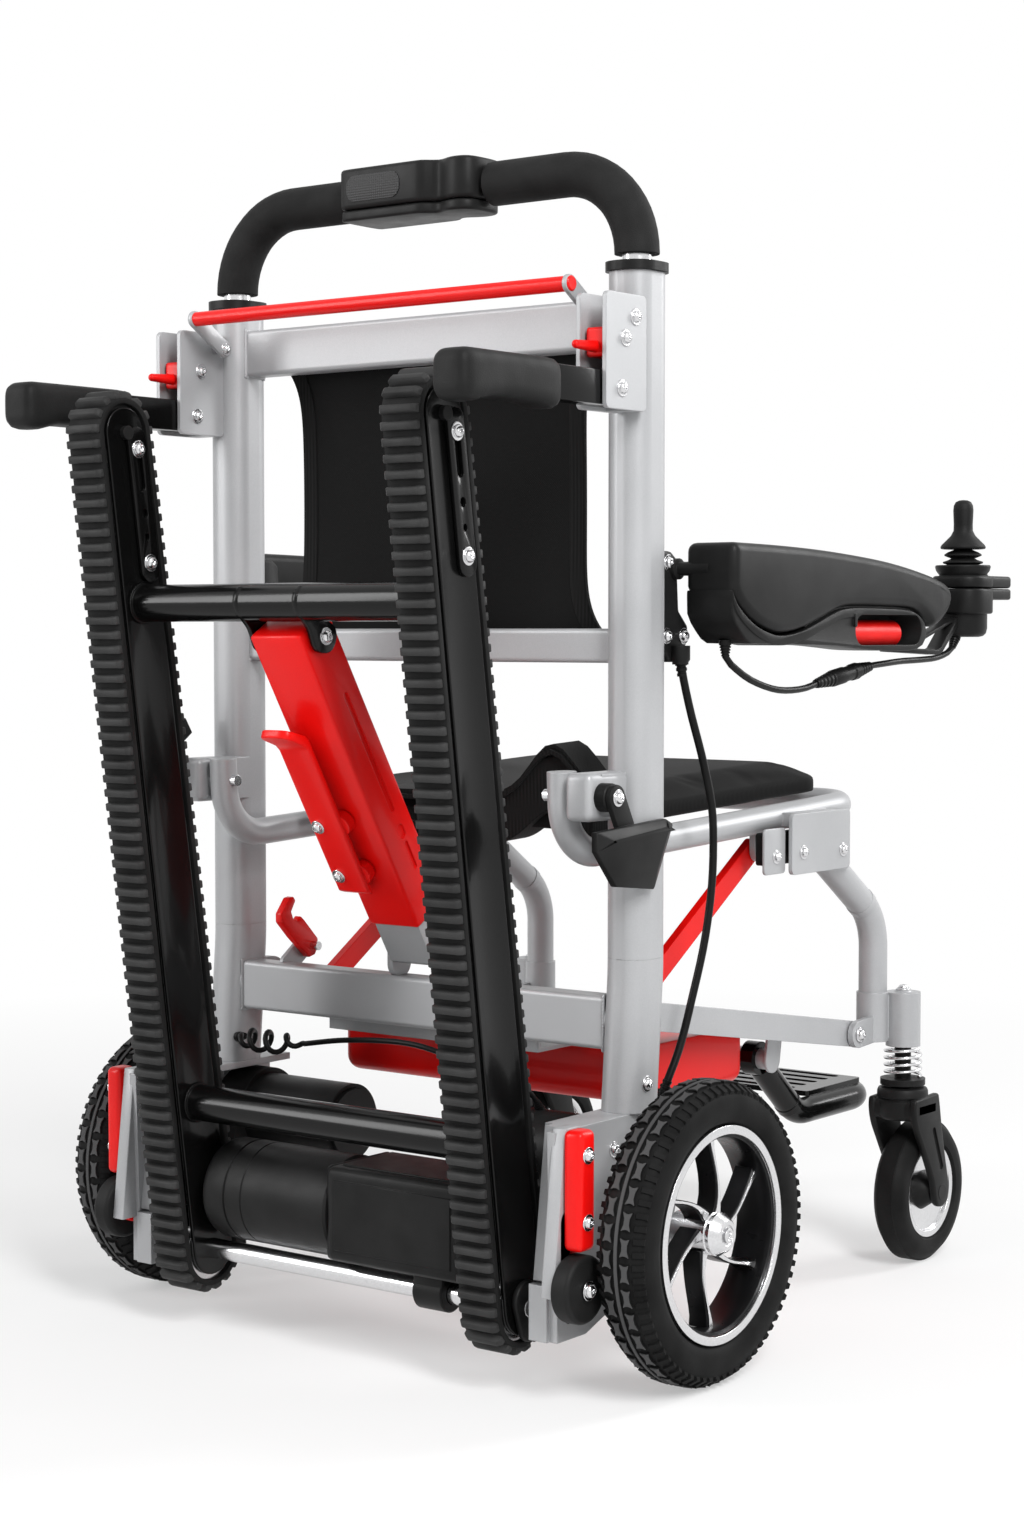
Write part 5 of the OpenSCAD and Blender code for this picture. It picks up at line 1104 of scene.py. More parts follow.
pad = pad_block()
swell(pad, 4.0, 0.006)
modify(pad, "SUBSURF", levels=1, render_levels=1)
pad.matrix_world = SEAT
finished(pad, "seat_pad", "seat", seat_cloth, "seat_cushion")

# %% [markdown]
# A padded lap belt lies folded across the rear of the pad. Two strips rise in a hump and come down
# again, and a thicker one fills the fold below them.

# %% Lap belt
HUMP_AT = 136
HUMP_WIDE = 34


def strap(x0, x1, s0, s1, rise, lift, thick):
    """A strip across the seat from x0 to x1, in the seat's own frame."""
    middle = ((x0 + x1) / 2 * MM, (s0 + s1) / 2 * MM, 0)
    strip = block((x1 - x0) * MM, (s1 - s0) * MM, thick * MM, middle)
    edit()
    bpy.ops.mesh.subdivide(number_cuts=24)
    done()
    for point in strip.data.vertices:
        x = point.co.x / MM
        t = (x - x0) / (x1 - x0)
        hump = rise * math.exp(-((x - HUMP_AT) / HUMP_WIDE) ** 2)
        wave = 1.4 * math.sin(9 * t + s0) * math.sin(math.pi * t)
        point.co.z += (lift + hump + wave) * MM
    soften(strip, 0.0012, 2, 50)
    strip.matrix_world = SEAT
    return strip


low_strap = strap(-88, 178, 14, 58, 44, 38, 4)
top_strap = strap(-60, 176, 17, 54, 45, 42.4, 4)
folded_end = strap(70, 176, 18, 54, 34, 22, 46)
lap_belt = join([low_strap, top_strap, folded_end])
finished(lap_belt, "lap_belt", "seat", webbing)

# %% [markdown]
# The backrest is a sheet of the same cloth, stretched between the top and middle bars and hollowed
# out at its sides. The points of a fine grid are moved to that outline and bellied forward, and the
# sheet is given a thickness. Its side edges are bound with a tape, which shows as a paler band.

# %% Backrest sheet
SLING_LOW = 606
SLING_HIGH = 280


def sling_half(t):
    return 160 + 45 * abs(2 * t - 1) ** 6


def sling_point(u, t):
    """A point of the sheet, where u runs from side to side and t upwards."""
    high = math.sin(math.pi * t)
    belly = 5.5 * high * (1 - 0.5 * u * u) + 0.5 * math.sin(7 * u + 5 * t) * high
    return spot(u * sling_half(t), 22.5 + belly, SLING_LOW + SLING_HIGH * t)


sling = start(bpy.ops.mesh.primitive_grid_add, x_subdivisions=48, y_subdivisions=48, size=1)
for point in sling.data.vertices:
    point.co = sling_point(point.co.x * 2, point.co.y + 0.5)
modify(sling, "SOLIDIFY", thickness=0.0024, offset=0)
finished(sling, "back_sheet", "frame", back_cloth, "backrest_sling")
STRIPS = 200
sling_width = sum(2 * sling_half((k + 0.5) / STRIPS) for k in range(STRIPS)) / STRIPS
sling_area = sling_width * MM * SLING_HIGH * MM

# %% Edge tapes
def edge_tape(sign):
    tape = start(bpy.ops.mesh.primitive_grid_add, x_subdivisions=4, y_subdivisions=60, size=1)
    for point in tape.data.vertices:
        u = 1 - (0.5 - point.co.x) * 0.10
        point.co = sling_point(sign * u, point.co.y + 0.5)
    modify(tape, "SOLIDIFY", thickness=0.0050, offset=0)
    soften(tape, 0.0008, 2, 40)
    return tape


tapes = join([edge_tape(1), edge_tape(-1)])
face_out(tapes)
finished(tapes, "back_tapes", "frame", webbing)

# %% [markdown]
# Each armrest is two plastic mouldings that meet along an S-shaped seam: a padded upper shell that
# thins towards its nose, and a belly under it. Their side outlines are drawn as lines of points,
# filled and pulled out sideways, and all edges are then rounded. The nose is drawn in by moving its
# points.

# %% Armrest outlines
def smooth_line(line, count):
    """An outline of pairs, through a spline."""
    return [(p.x, p.y) for p in smooth([Vector((a, b, 0)) for a, b in line], count)]


def arm_line(shares, count):
    """A smooth outline through points given as shares of the armrest's length and height."""
    return smooth_line([(47 + 403 * u, 613 + 86 * v) for u, v in shares], count)


top_shares = ((0.004, 1.0), (0.21, 0.985), (0.393, 0.955), (0.577, 0.90), (0.70, 0.845), (0.822, 0.765),
              (0.92, 0.68), (0.97, 0.62), (0.995, 0.54), (0.988, 0.44), (0.96, 0.345), (0.93, 0.27),
              (0.872, 0.15))
seam_shares = ((0.864, 0.16), (0.85, 0.235), (0.812, 0.335), (0.76, 0.382), (0.64, 0.396), (0.515, 0.398),
               (0.454, 0.376), (0.405, 0.32), (0.344, 0.233), (0.282, 0.155), (0.22, 0.115),
               (0.172, 0.123), (0.11, 0.197), (0.061, 0.307), (0.022, 0.442), (0.004, 0.56))
belly_top = ((0.008, 0.54), (0.022, 0.415), (0.06, 0.282), (0.108, 0.172), (0.17, 0.098), (0.22, 0.09),
             (0.284, 0.13), (0.346, 0.208), (0.407, 0.296), (0.456, 0.352), (0.515, 0.374), (0.64, 0.372),
             (0.756, 0.358), (0.805, 0.315), (0.836, 0.235), (0.847, 0.15))
belly_low = ((0.847, 0.06), (0.835, -0.01), (0.80, -0.065), (0.74, -0.08), (0.62, -0.07), (0.52, -0.04),
             (0.42, -0.015), (0.24, 0.0), (0.10, 0.01), (0.07, 0.03), (0.025, 0.20), (0.010, 0.30))


def drawn_in(obj, start_y, end_y, middle, least):
    """Narrows a moulding towards its nose, as a quarter ellipse seen from above."""
    for point in obj.data.vertices:
        y = point.co.y / MM + AXLE_BACK
        t = min(1, max(0, (y - start_y) / (end_y - start_y)))
        share = least + (1 - least) * math.sqrt(1 - t * t)
        point.co.x = middle * MM + (point.co.x - middle * MM) * share


upper = plate(arm_line(top_shares, 44)[:-1] + arm_line(seam_shares, 48), 246, 297)
soften(upper, 0.0085, 5, 60)
drawn_in(upper, 392, 454, 270, 0.36)
belly = plate(arm_line(belly_top, 48) + arm_line(belly_low, 36), 246.6, 292.6)
soften(belly, 0.004, 3, 60)
band_top = arm_line(belly_top[:11], 36)
band_low = [(y, z - 8.5) for y, z in reversed(band_top)]
band = plate(band_top + band_low, 250, 294)
soften(band, 0.0012, 2, 60)
print("armrest shells", upper.dimensions, belly.dimensions)

# %% Lever pocket
def ring_line(y0, y1, z0, z1, r):
    """A rectangle with round corners as outline points."""
    line = []
    corners = ((y1 - r, z1 - r), (y0 + r, z1 - r), (y0 + r, z0 + r), (y1 - r, z0 + r))
    for quarter, (cy, cz) in enumerate(corners):
        for k in range(6):
            turn = math.radians(90 * quarter + 18 * k)
            line.append((cy + r * math.cos(turn), cz + r * math.sin(turn)))
    return line


pocket = plate(ring_line(256, 378, 611.5, 639, 13), 262, 300)
cut(belly, pocket)
soften(belly, 0.0009, 2, 55)
catch = plate(ring_line(252, 256, 628, 640, 1.8), 262, 294.6)
core_line = ((58, 640), (58, 690), (210, 691), (330, 676), (420, 655), (434, 645), (400, 636), (390, 642),
             (250, 642), (236, 636), (200, 628), (120, 628))
arm_core = plate(core_line, 252, 288)
arm = join([upper, belly, band, catch, arm_core])
pair(arm, "arm_moulding_", "arm_", black_plastic, "armrest_")

# %% [markdown]
# A red lever in the pocket frees the armrest, so that it can be flipped up. Its front is a
# round bar that a hand pulls from below, with a flat web behind it that leads to the pivot.

# %% Armrest levers
lever_line = ((262, 0), (262, 10.5), (264, 12.4), (355, 12.4), (357, 10.5), (357, 0))
lever_round = lathe(lever_line, spot(272, 0, 622), 32, (0, 1, 0))
lever_web = block(0.018, 0.064, 0.006, spot(260.5, 323, 624))
soften(lever_web, 0.002, 2, 50)
lever = join([lever_round, lever_web])
pair(lever, "arm_lever_", "lever_", red_plastic, "armrest_lever_")

# %% [markdown]
# A black bracket on each upright carries the armrest's pivot, and a tongue below it guides the cable.

# %% Armrest brackets
bracket_line = ((30, 606), (30, 692), (48, 692), (57, 686), (60, 642), (74, 629), (74, 615), (66, 606),
                (63, 598), (45, 598), (40, 606))
bracket = plate(bracket_line, 222, 233.6)
soften(bracket, 0.003, 3, 30)
pin_line = ((233, 0), (233, 9), (238, 9), (239, 6), (270, 6), (270, 0))
pin = lathe(pin_line, spot(0, 53, 677), 24)
gland_line = ((612, 0), (612, 8.4), (600, 8.4), (598, 7), (596, 7), (596, 0))
gland = lathe_up(gland_line, spot(238.5, 54, 0), 24)
brackets = both(join([bracket, pin, gland]))
finished(brackets, "arm_brackets", "frame", black_plastic, "armrest_brackets")

# %% [markdown]
# The lift handles are steel bars with a moulded rubber sleeve, which has a low lobe at both ends
# so that hands can't slip off. A rounded square face is extruded step by step along the bar, and its
# width and height change on the way.

# %% Lift handle grips
def lofted(x, sections):
    """A rounded square body along Y, from sections of (y, half width, low, top) in millimetres."""
    piece = start(bpy.ops.mesh.primitive_circle_add, vertices=48, radius=1, fill_type="NGON",
                  rotation=(math.pi / 2, 0, 0))
    settle()
    for point in piece.data.vertices:
        point.co.x = math.copysign(abs(point.co.x) ** 0.5, point.co.x)
        point.co.z = math.copysign(abs(point.co.z) ** 0.5, point.co.z)
    edit()
    was_wide, was_high, was = 1 / MM, 1 / MM, Vector((0, 0, 0))
    for k, (y, wide, low, top) in enumerate(sections):
        here = spot(x, y, (low + top) / 2)
        if k:
            extrude(here - was)
        else:
            bpy.ops.transform.translate(value=here)
        high = (top - low) / 2
        bpy.ops.transform.resize(value=(wide / was_wide, 1, high / was_high), center_override=here)
        was_wide, was_high, was = wide, high, here
    done()
    face_out(piece)
    return piece


LIFT_X = 237
grip_sections = ((-262, 10, 808, 829), (-261, 13, 804.6, 833), (-259, 15.6, 801.6, 836),
                 (-255, 17.4, 799, 838.2), (-249, 18, 798, 839), (-242, 18, 798.2, 839),
                 (-234, 18, 800.2, 839), (-224, 18, 802.6, 839), (-212, 18, 803, 839),
                 (-172, 18, 803, 839), (-160, 18, 801.4, 839), (-150, 18, 799, 839),
                 (-143, 17.6, 798.6, 838.6), (-138, 16, 800.6, 836.6), (-135.6, 13, 804, 833),
                 (-135, 11, 806.4, 831))
grip = lofted(LIFT_X, grip_sections)
pair(grip, "lift_grip_", "lift_", grip_rubber)

# %% Lift handle bars
bar = block(0.020, 0.1038, 0.028, spot(LIFT_X, -86.1, 821))
pick(bar, "FACE", lambda p, n: n.y > 0.9)
bpy.ops.mesh.inset(thickness=0.0025)
extrude((0, -0.02, 0))
done()
soften(bar, 0.0015, 2, 50)
pair(bar, "lift_bar_", "lift_", black_coat, "lift_handle_")

# %% [markdown]
# The joystick sits on a case with a short panel in front and a round cup below. A slab is an outline
# seen from above, pulled up between two heights. Two slabs with a gap between them show the seam where
# the case comes apart. Flat straps under the armrest carry it.

# %% Joystick case
def slab(outline, z0, z1, round_by, angle=50):
    """A shape with an outline of (x, y) drawing points between two heights, with rounded edges."""
    obj = solid([spot(x, y, z0) for x, y in outline], (0, 0, (z1 - z0) * MM))
    soften(obj, round_by, 3, angle)
    return obj


STICK = spot(265, 512, 0)
PANEL_END = cad_box[1][1] / MM + AXLE_BACK
case_line = ring_line(238, 292, 485, 539, 20)
panel_line = ring_line(242, 288, 505, PANEL_END, 9)
case_parts = [slab(case_line, 641, 665.6, 0.0024), slab(case_line, 666.4, 678, 0.003),
              slab(panel_line, 655, 665.6, 0.0024), slab(panel_line, 666.4, 678, 0.003)]
collar_line = ((676, 18), (676, 22.6), (679, 23), (683, 26), (687, 27), (688.4, 26.2), (688.4, 19.6),
               (684, 18), (676, 18))
cup_line = ((642, 0), (642, 24), (627, 24), (622, 22.8), (619.4, 20), (618.4, 16), (618.4, 0))
for line in (collar_line, cup_line):
    case_parts.append(lathe_up(line, STICK, 48))
strap_line = ((362, 609), (362, 605), (450, 601.6), (457, 603.6), (489, 630), (489, 636.6), (485, 636),
              (454, 608.6), (448, 606.6))
low_link = plate(strap_line, 257, 273)
soften(low_link, 0.001, 2, 30)
top_link = plate(((398, 612), (398, 608.4), (486, 634), (486, 637.6)), 259, 271)
soften(top_link, 0.0008, 2, 50)
stick_case = join(case_parts + [low_link, top_link])
finished(stick_case, "stick_case", "arm_right", black_plastic, "joystick_case")

# %% [markdown]
# The joystick is a turned shape: a finger knob with a wide skirt, and a rubber boot in rings below
# it that lets the stick tip. Both are lines of points turned round the stick's axis.

# %% Joystick knob and boot
knob_line = ((752, 0), (751.6, 4), (750, 7.4), (746.5, 9.3), (742, 9.8), (728, 9.2), (722, 9.4),
             (717, 12), (712, 17), (708, 21), (706, 22), (704.4, 21.4), (704, 19), (706, 12), (703, 7),
             (690, 6), (690, 0))
boot_line = ((705, 8), (703.5, 9), (701, 15), (699, 18), (697.6, 18), (696, 14), (695, 11.5), (693.6, 14),
             (691.8, 19.4), (690.4, 19.4), (688.8, 15), (687.6, 12.6), (686.4, 15), (685, 19), (684, 19),
             (684, 8), (705, 8))
knob = lathe_up(knob_line, STICK, 48)
stick_boot = lathe_up(boot_line, STICK, 48)
finished(knob, "stick_knob", "stick", grip_rubber, "joystick_stick")
finished(stick_boot, "stick_boot", "gimbal", grip_rubber, "joystick_gimbal")

# %% [markdown]
# The control case on the push handle holds the climbing switch. It is drawn from above as a wide
# box with a waist and a rounded lobe, pulled up to its height and rounded. A tray closes it below.

# %% Control case
def housing(line, z0, z1, round_by):
    """A slab with a smooth closed outline."""
    return slab(smooth_line(line + (line[0],), 80)[:-1], z0, z1, round_by, 60)


housing_line = ((-74, -22), (-68, -26.5), (-40, -27), (8, -27), (20, -26), (27, -20.5), (33, -17.5),
                (40, -20), (50, -24), (62, -23), (70, -15), (72, 3.5), (70, 22), (62, 30), (50, 31),
                (40, 27), (33, 24.5), (27, 27.5), (20, 33), (8, 34), (-40, 34), (-68, 33.5), (-74, 29),
                (-75, 4))
case_top = housing(housing_line, 997, 1033, 0.004)
switch_pocket = block(0.0276, 0.018, 0.018, spot(50, 3.5, 1031))
cut(case_top, switch_pocket)
tray_line = tuple((x * 0.985 - 1, 3.5 + (y - 3.5) * 0.95) for x, y in housing_line)
case_tray = housing(tray_line, 987, 996.4, 0.0025)
case = join([case_top, case_tray])
finished(case, "control_housing", "handle", black_plastic, "control_case")

# %% Dotted grip panel
def dotted():
    finish = Finish("dotted_panel", (0.016, 0.016, 0.017), 0.6)
    threads = math.pi / 0.0022
    across = finish.along(0)
    up = finish.along(2)
    first = finish.sine((across + up) * threads)
    second = finish.sine((across - up) * threads)
    dots = first * second * 0.5 + 0.5
    finish.set("Base Color", finish.shades(dots, (0.3, grey(0.006)), (0.7, (0.026, 0.026, 0.027))))
    finish.set("Roughness", 0.45 + dots * 0.2)
    finish.bump(dots, 0.0004)
    return finish.material


panel = block(0.060, 0.0016, 0.023, spot(-33, -27.2, 1014.5))
pick(panel, "EDGE", lambda p, d: abs(d.y) > 0.001)
bpy.ops.mesh.bevel(offset=0.009, segments=6, affect="EDGES")
done()
soften(panel, 0.0005, 2, 50)
finished(panel, "case_panel", "handle", dotted())

# %% [markdown]
# Each track is carried by a beam: a flat black box with round ends, whose sides have a raised lip.
# A stadium outline is pulled out to a wall, its face is inset and pressed in for the lip, and two
# walls close a box between them. Near the top a slotted plate, held by two screws, sets the belt's
# tension.

# %% Beam walls
def stadium(half_low, half_top, low, top, shift=0.0, steps=14):
    """A long shape with round ends, as (across, along) points in millimetres."""
    line = []
    for centre, half, first in ((top, half_top, 0), (low, half_low, math.pi)):
        for k in range(steps + 1):
            turn = first + math.pi * k / steps
            line.append((shift + half * math.cos(turn), centre + half * math.sin(turn)))
    return line


def track_plate(outline, x0, x1):
    """A plate in the track's own frame, moved to its place on the chair."""
    obj = plate([(a + AXLE_BACK, b) for a, b in outline], x0, x1)
    obj.matrix_world = TRACK
    return obj


BEAM_TOP = TRACK_LENGTH / MM


def wall(x0, x1, sign):
    piece = plate([(a + AXLE_BACK, b) for a, b in stadium(24, 22, 0, BEAM_TOP)], x0, x1)
    pick(piece, "FACE", lambda p, n: n.x * sign > 0.9)
    bpy.ops.mesh.inset(thickness=0.0042)
    bpy.ops.transform.translate(value=(-0.0012 * sign, 0, 0))
    done()
    soften(piece, 0.0014, 3, 30)
    piece.matrix_world = TRACK
    return piece


beam_core = track_plate(((-23, 46), (23, 46), (22.4, 640), (-22.4, 640)), 158, 191)
soften(beam_core, 0.003, 3, 50)
beams = both(join([wall(190, 194.4, 1), wall(154.6, 159, -1), beam_core]))
finished(beams, "track_walls", "track", black_coat, "track_beams")

# %% Tensioner plates
SLOT_AT = 9.5


def slotted(x0, x1):
    piece = track_plate(stadium(10.4, 10.4, 612, BEAM_TOP - 6, SLOT_AT), x0, x1)
    for half, low, top in ((4.2, 684, 712), (3.6, 660, 661), (2.6, 640, 641)):
        cut(piece, track_plate(stadium(half, half, low, top, SLOT_AT), x0 - 4, x1 + 4))
    soften(piece, 0.0009, 2, 40)
    return piece


plates = both(join([slotted(194.2, 197.4), slotted(151.6, 154.8)]))
finished(plates, "tension_plates", "track", black_coat)

# %% Shaft end covers
cover = track_plate(stadium(13, 17, -16, 6), 194.2, 200)
soften(cover, 0.0022, 3, 40)
covers = both(cover)
finished(covers, "shaft_covers", "track", black_plastic)

# %% [markdown]
# The red rod across the top frees both lift handles when it is pulled up. It is a round bar between
# two flat silver arms. The arms are links with round ends, drawn as stadium outlines.

# %% Release rod and arms
def link_line(y0, z0, y1, z1, r, steps=12):
    """A bar with round ends between two points, as an outline."""
    base = math.atan2(z1 - z0, y1 - y0)
    line = []
    for cy, cz, first in ((y1, z1, base - math.pi / 2), (y0, z0, base + math.pi / 2)):
        for k in range(steps + 1):
            turn = first + math.pi * k / steps
            line.append((cy + r * math.cos(turn), cz + r * math.sin(turn)))
    return line


rod_line = ((-213.4, 0), (-213.4, 5.4), (-212.4, 6.4), (212.4, 6.4), (213.4, 5.4), (213.4, 0))
rod = lathe(rod_line, spot(0, -68, 907), 32)
finished(rod, "release_rod", "release", red_coat, "release_bar")
release_arm = plate(link_line(-68, 907, -30, 883, 7.6), 207.6, 212)
soften(release_arm, 0.0008, 2, 40)
release_arms = both(release_arm)
finished(release_arms, "release_arms", "release", silver_coat)

# %% [markdown]
# Two round tubes join the track beams, welded on all round. A weld is a ripple of small beads, so a
# ring of flattened balls is laid along each seam. The upper tube carries two ears for the strut's
# top pin.

# %% Welds
def bead(radius):
    ball = start(bpy.ops.mesh.primitive_ico_sphere_add, subdivisions=1, radius=radius * MM)
    bpy.ops.transform.resize(value=(0.7, 1.25, 1.0))
    settle()
    return ball


def weld(points, radius, normal=(1, 0, 0)):
    """A seam of overlapping beads along a closed line of scene points."""
    pitch = radius * 1.3 * MM
    places = []
    for a, b in zip(points, points[1:] + points[:1]):
        count = max(1, round((b - a).length / pitch))
        along = (b - a).normalized()
        side = Vector(normal).cross(along)
        turn = Matrix((Vector(normal), along, side)).transposed().to_4x4()
        for k in range(count):
            places.append(Matrix.Translation(a.lerp(b, k / count)) @ turn)
    return stamp(bead(radius), places)


def ring_points(centre, radius, count=40):
    turns = [math.tau * k / count for k in range(count)]
    return [centre + Vector((0, math.cos(turn), math.sin(turn))) * radius * MM for turn in turns]


# %% Cross tubes and strut ears
TUBE_END = 154.4


def cross_tube(b):
    """A welded tube between the beams, at a distance up the track."""
    line = ((-TUBE_END, 12), (-TUBE_END, 16), (TUBE_END, 16), (TUBE_END, 12), (-TUBE_END, 12))
    middle = TRACK @ Vector((0, 0, b * MM))
    parts = [lathe(line, middle, 48)]
    for x in (-TUBE_END, TUBE_END):
        parts.append(weld(ring_points(middle + Vector((x * MM, 0, 0)), 16.4), 2.0))
    return join(parts)


ear_line = ((-200, 662), (-190, 657), (-180, 640), (-169, 634), (-158, 628), (-156, 618), (-162, 608),
            (-172, 606), (-182, 610), (-190, 626), (-204, 640), (-207, 652))
ear = plate(smooth_line(ear_line + (ear_line[0],), 50)[:-1], 30.6, 35.4)
soften(ear, 0.0009, 2, 40)
tubes = join([cross_tube(136), cross_tube(584), both(ear)])
finished(tubes, "cross_tubes", "track", black_coat, "track_tubes")

# %% [markdown]
# The climbing motor is a can with a separate rear cap, bolted to a square gearbox that drives the
# shaft through a boss. The can is turned, with grooves where its parts meet, and the gearbox is a
# block whose faces are inset, so that it shows a cover plate with rounded corners.

# %% Climbing motor
motor_line = ((-142, 0), (-142, 36), (-141, 40), (-138, 43.4), (-134, 44.8), (-113.4, 45), (-112.8, 43.6),
              (-111.4, 43.6), (-110.8, 45), (-93, 45), (-92.6, 44.2), (-91.6, 44.2), (-91.2, 45), (3, 45),
              (5, 43), (5, 0))
can = lathe(motor_line, spot(0, -96, 126), 64)
box = block(0.1485, 0.088, 0.082, spot(79.6, -96, 128))
soften(box, 0.007, 3, 50)
pick(box, "FACE", lambda p, n: n.y < -0.98 or n.z > 0.98)
bpy.ops.mesh.inset(thickness=0.004, use_individual=True)
bpy.ops.mesh.extrude_region_shrink_fatten(TRANSFORM_OT_shrink_fatten={"value": 0.0014})
done()
soften(box, 0.0005, 1, 30)
flange = block(0.010, 0.082, 0.082, spot(8, -96, 128))
soften(flange, 0.010, 4, 50)
boss_line = ((88, 9.6), (88, 15), (89.5, 16.5), (118.5, 16.5), (120, 15), (120, 9.6), (88, 9.6))
boss = lathe(boss_line, spot(0, SHAFT_Y, SHAFT_Z), 40)
neck = block(0.032, 0.030, 0.014, spot(104, SHAFT_Y, 82))
soften(neck, 0.003, 2, 50)
motor = join([can, box, flange, boss, neck])
finished(motor, "climb_motor", "track", black_plastic, "climb_gearmotor")

# %% [markdown]
# A caster fork is one moulding: a round crown with a groove, shoulders, and two legs that taper to
# the axle, with a long recess on the outside. The leg's outline is drawn and pulled out, and the
# recess cut.

# %% Caster forks
leg_line = ((447, 168), (446, 158), (450, 142), (462, 122), (475, 101), (484, 84), (487.4, 72),
            (489.6, 63), (495, 57), (502, 55.2), (509.4, 57.2), (515, 63), (516.8, 70), (515, 82),
            (509, 104), (502, 132), (497, 158), (494, 170))
leg_points = smooth_line(leg_line, 54)
outer_leg = plate(leg_points, 246.2, 253.6)
soften(outer_leg, 0.0024, 3, 50)
cut(outer_leg, plate(link_line(484, 134, 500, 96, 3.2), 251.6, 258))
inner_leg = plate(leg_points, 200.4, 207.8)
soften(inner_leg, 0.0024, 3, 50)
shoulders = block(0.0532, 0.047, 0.022, spot(CASTER_X, 470.5, 157))
soften(shoulders, 0.007, 4, 50)
crown_line = ((178, 9), (178, 20), (176.6, 23.6), (174, 24.8), (168.4, 25), (167.6, 23.2), (166, 23.2),
              (165.2, 25), (150, 25), (147, 23), (146, 20), (146, 9), (178, 9))
crown = lathe_up(crown_line, spot(CASTER_X, STEM_Y, 0), 48)
cap_line = ((253.4, 0), (253.4, 8), (254, 8), (254, 0))
axle_cap = lathe(cap_line, spot(0, CASTER_Y, CASTER_Z), 24)
fork = join([outer_leg, inner_leg, shoulders, crown, axle_cap])
pair(fork, "fork_moulding_", "fork_", black_plastic, "caster_fork_")

# %% [markdown]
# The frame's own welds show best where the cross bars meet the uprights. Each seam follows the bar's
# rectangle, with its beads painted over in silver.

# %% Frame welds
def bar_seam(x, y0, y1, z0, z1):
    corners = [spot(x, y0, z0), spot(x, y1, z0), spot(x, y1, z1), spot(x, y0, z1)]
    return weld(corners, 2.2)


seams = [bar_seam(206.4, -4, 20, 860, 902), bar_seam(206.4, 0, 20, 597.5, 626.5),
         bar_seam(206.4, -13, 13, 271.5, 316.5)]
frame_welds = both(join(seams))
finished(frame_welds, "frame_welds", "frame", silver_coat)

# %% [markdown]
# A small black lever hangs at each seat hinge and ends in a wide scoop for the hand. On the left it
# is swung up and back. The scoop is a plate whose outer face is inset and pulled out off centre, so
# that it has slanting facets like a folded sheet.

# %% Hinge levers
HINGE_Y = -52.3
HINGE_Z = 487.9
scoop_shape = ((-37, -26), (62, -20), (73, -25), (45, -78), (-10, -72), (-37, -42))
scoop_line = [(HINGE_Y + y, HINGE_Z + z) for y, z in scoop_shape]
scoop = plate(scoop_line, 248, 254)
pick(scoop, "FACE", lambda p, n: n.x > 0.9)
bpy.ops.mesh.inset(thickness=0.013)
bpy.ops.transform.translate(value=(0.005, 0.006, 0.004))
done()
soften(scoop, 0.0016, 3, 20)
arm_strip = plate(link_line(HINGE_Y, HINGE_Z, HINGE_Y + 20, HINGE_Z - 37, 11), 243, 248.4)
soften(arm_strip, 0.0012, 2, 40)
pivot_line = ((232, 0), (232, 12), (242, 12), (243, 11), (243, 0))
lever_hub = lathe(pivot_line, spot(0, HINGE_Y, HINGE_Z), 32)
right_scoop = join([scoop, arm_strip, lever_hub])
pivot = Matrix.Translation(spot(0, HINGE_Y, HINGE_Z))
swung = copied(right_scoop, pivot @ Matrix.Rotation(math.radians(212), 4, "X") @ pivot.inverted())
left_scoop = mirrored(swung)
bpy.data.objects.remove(swung)
scoops = join([right_scoop, left_scoop])
finished(scoops, "hinge_levers", "frame", black_plastic, "belt_stalks")

# %% Hinge blocks and seat tabs
hinge_block = block(0.0262, 0.060, 0.040, spot(219.4, -40, HINGE_Z))
soften(hinge_block, 0.006, 4, 50)
finished(both(hinge_block), "hinge_blocks", "frame", silver_coat)
tab = plate(ring_line(226, 262, 402, 444, 4), 214, 217)
soften(tab, 0.0008, 2, 40)
finished(both(tab), "seat_tabs", "seat", silver_coat)
tab_block = plate(ring_line(232, 290, 410, 440, 3), 203, 214)
soften(tab_block, 0.001, 2, 40)
finished(both(tab_block), "seat_tab_blocks", "seat", black_plastic)

# %% [markdown]
# A red strut props the tracks. It is a square sleeve with a flat top end, and grooves in its side
# show where it slides. A folded handle behind it stands on two bosses and is pulled to free it.

# %% Strut sleeve
STRUT_LOW = Vector((1, 340))
STRUT_TOP = Vector((-170, 620))
STRUT_LENGTH = (STRUT_TOP - STRUT_LOW).length
STRUT_AXIS = (STRUT_TOP - STRUT_LOW).normalized()
STRUT_OUT = Vector((STRUT_AXIS.y, -STRUT_AXIS.x))


def strut_points(line):
    """Points given as distances ahead of the strut's axis and along it, as (y, z) drawing points."""
    return [STRUT_LOW + STRUT_AXIS * t + STRUT_OUT * n for n, t in line]


sleeve_end = STRUT_LENGTH + 13
sleeve = plate(strut_points(((-22, 42), (22, 42), (22, sleeve_end), (-22, sleeve_end))), -28, 28)
soften(sleeve, 0.0032, 3, 50)
cutters = [plate(strut_points(((-19.2, 30), (19.2, 30), (19.2, 300), (-19.2, 300))), -25.2, 25.2)]
for t0, t1, r in ((152, 268, 2.8), (126, 131, 4.6), (92, 116, 2.4)):
    a, b = strut_points(((3, t0), (3, t1)))
    cutters.append(plate(link_line(a.x, a.y, b.x, b.y, r), 26, 31))
for cutter in cutters:
    cut(sleeve, cutter)
finished(sleeve, "strut_sleeve", "strut_top", red_coat, "strut_outer")

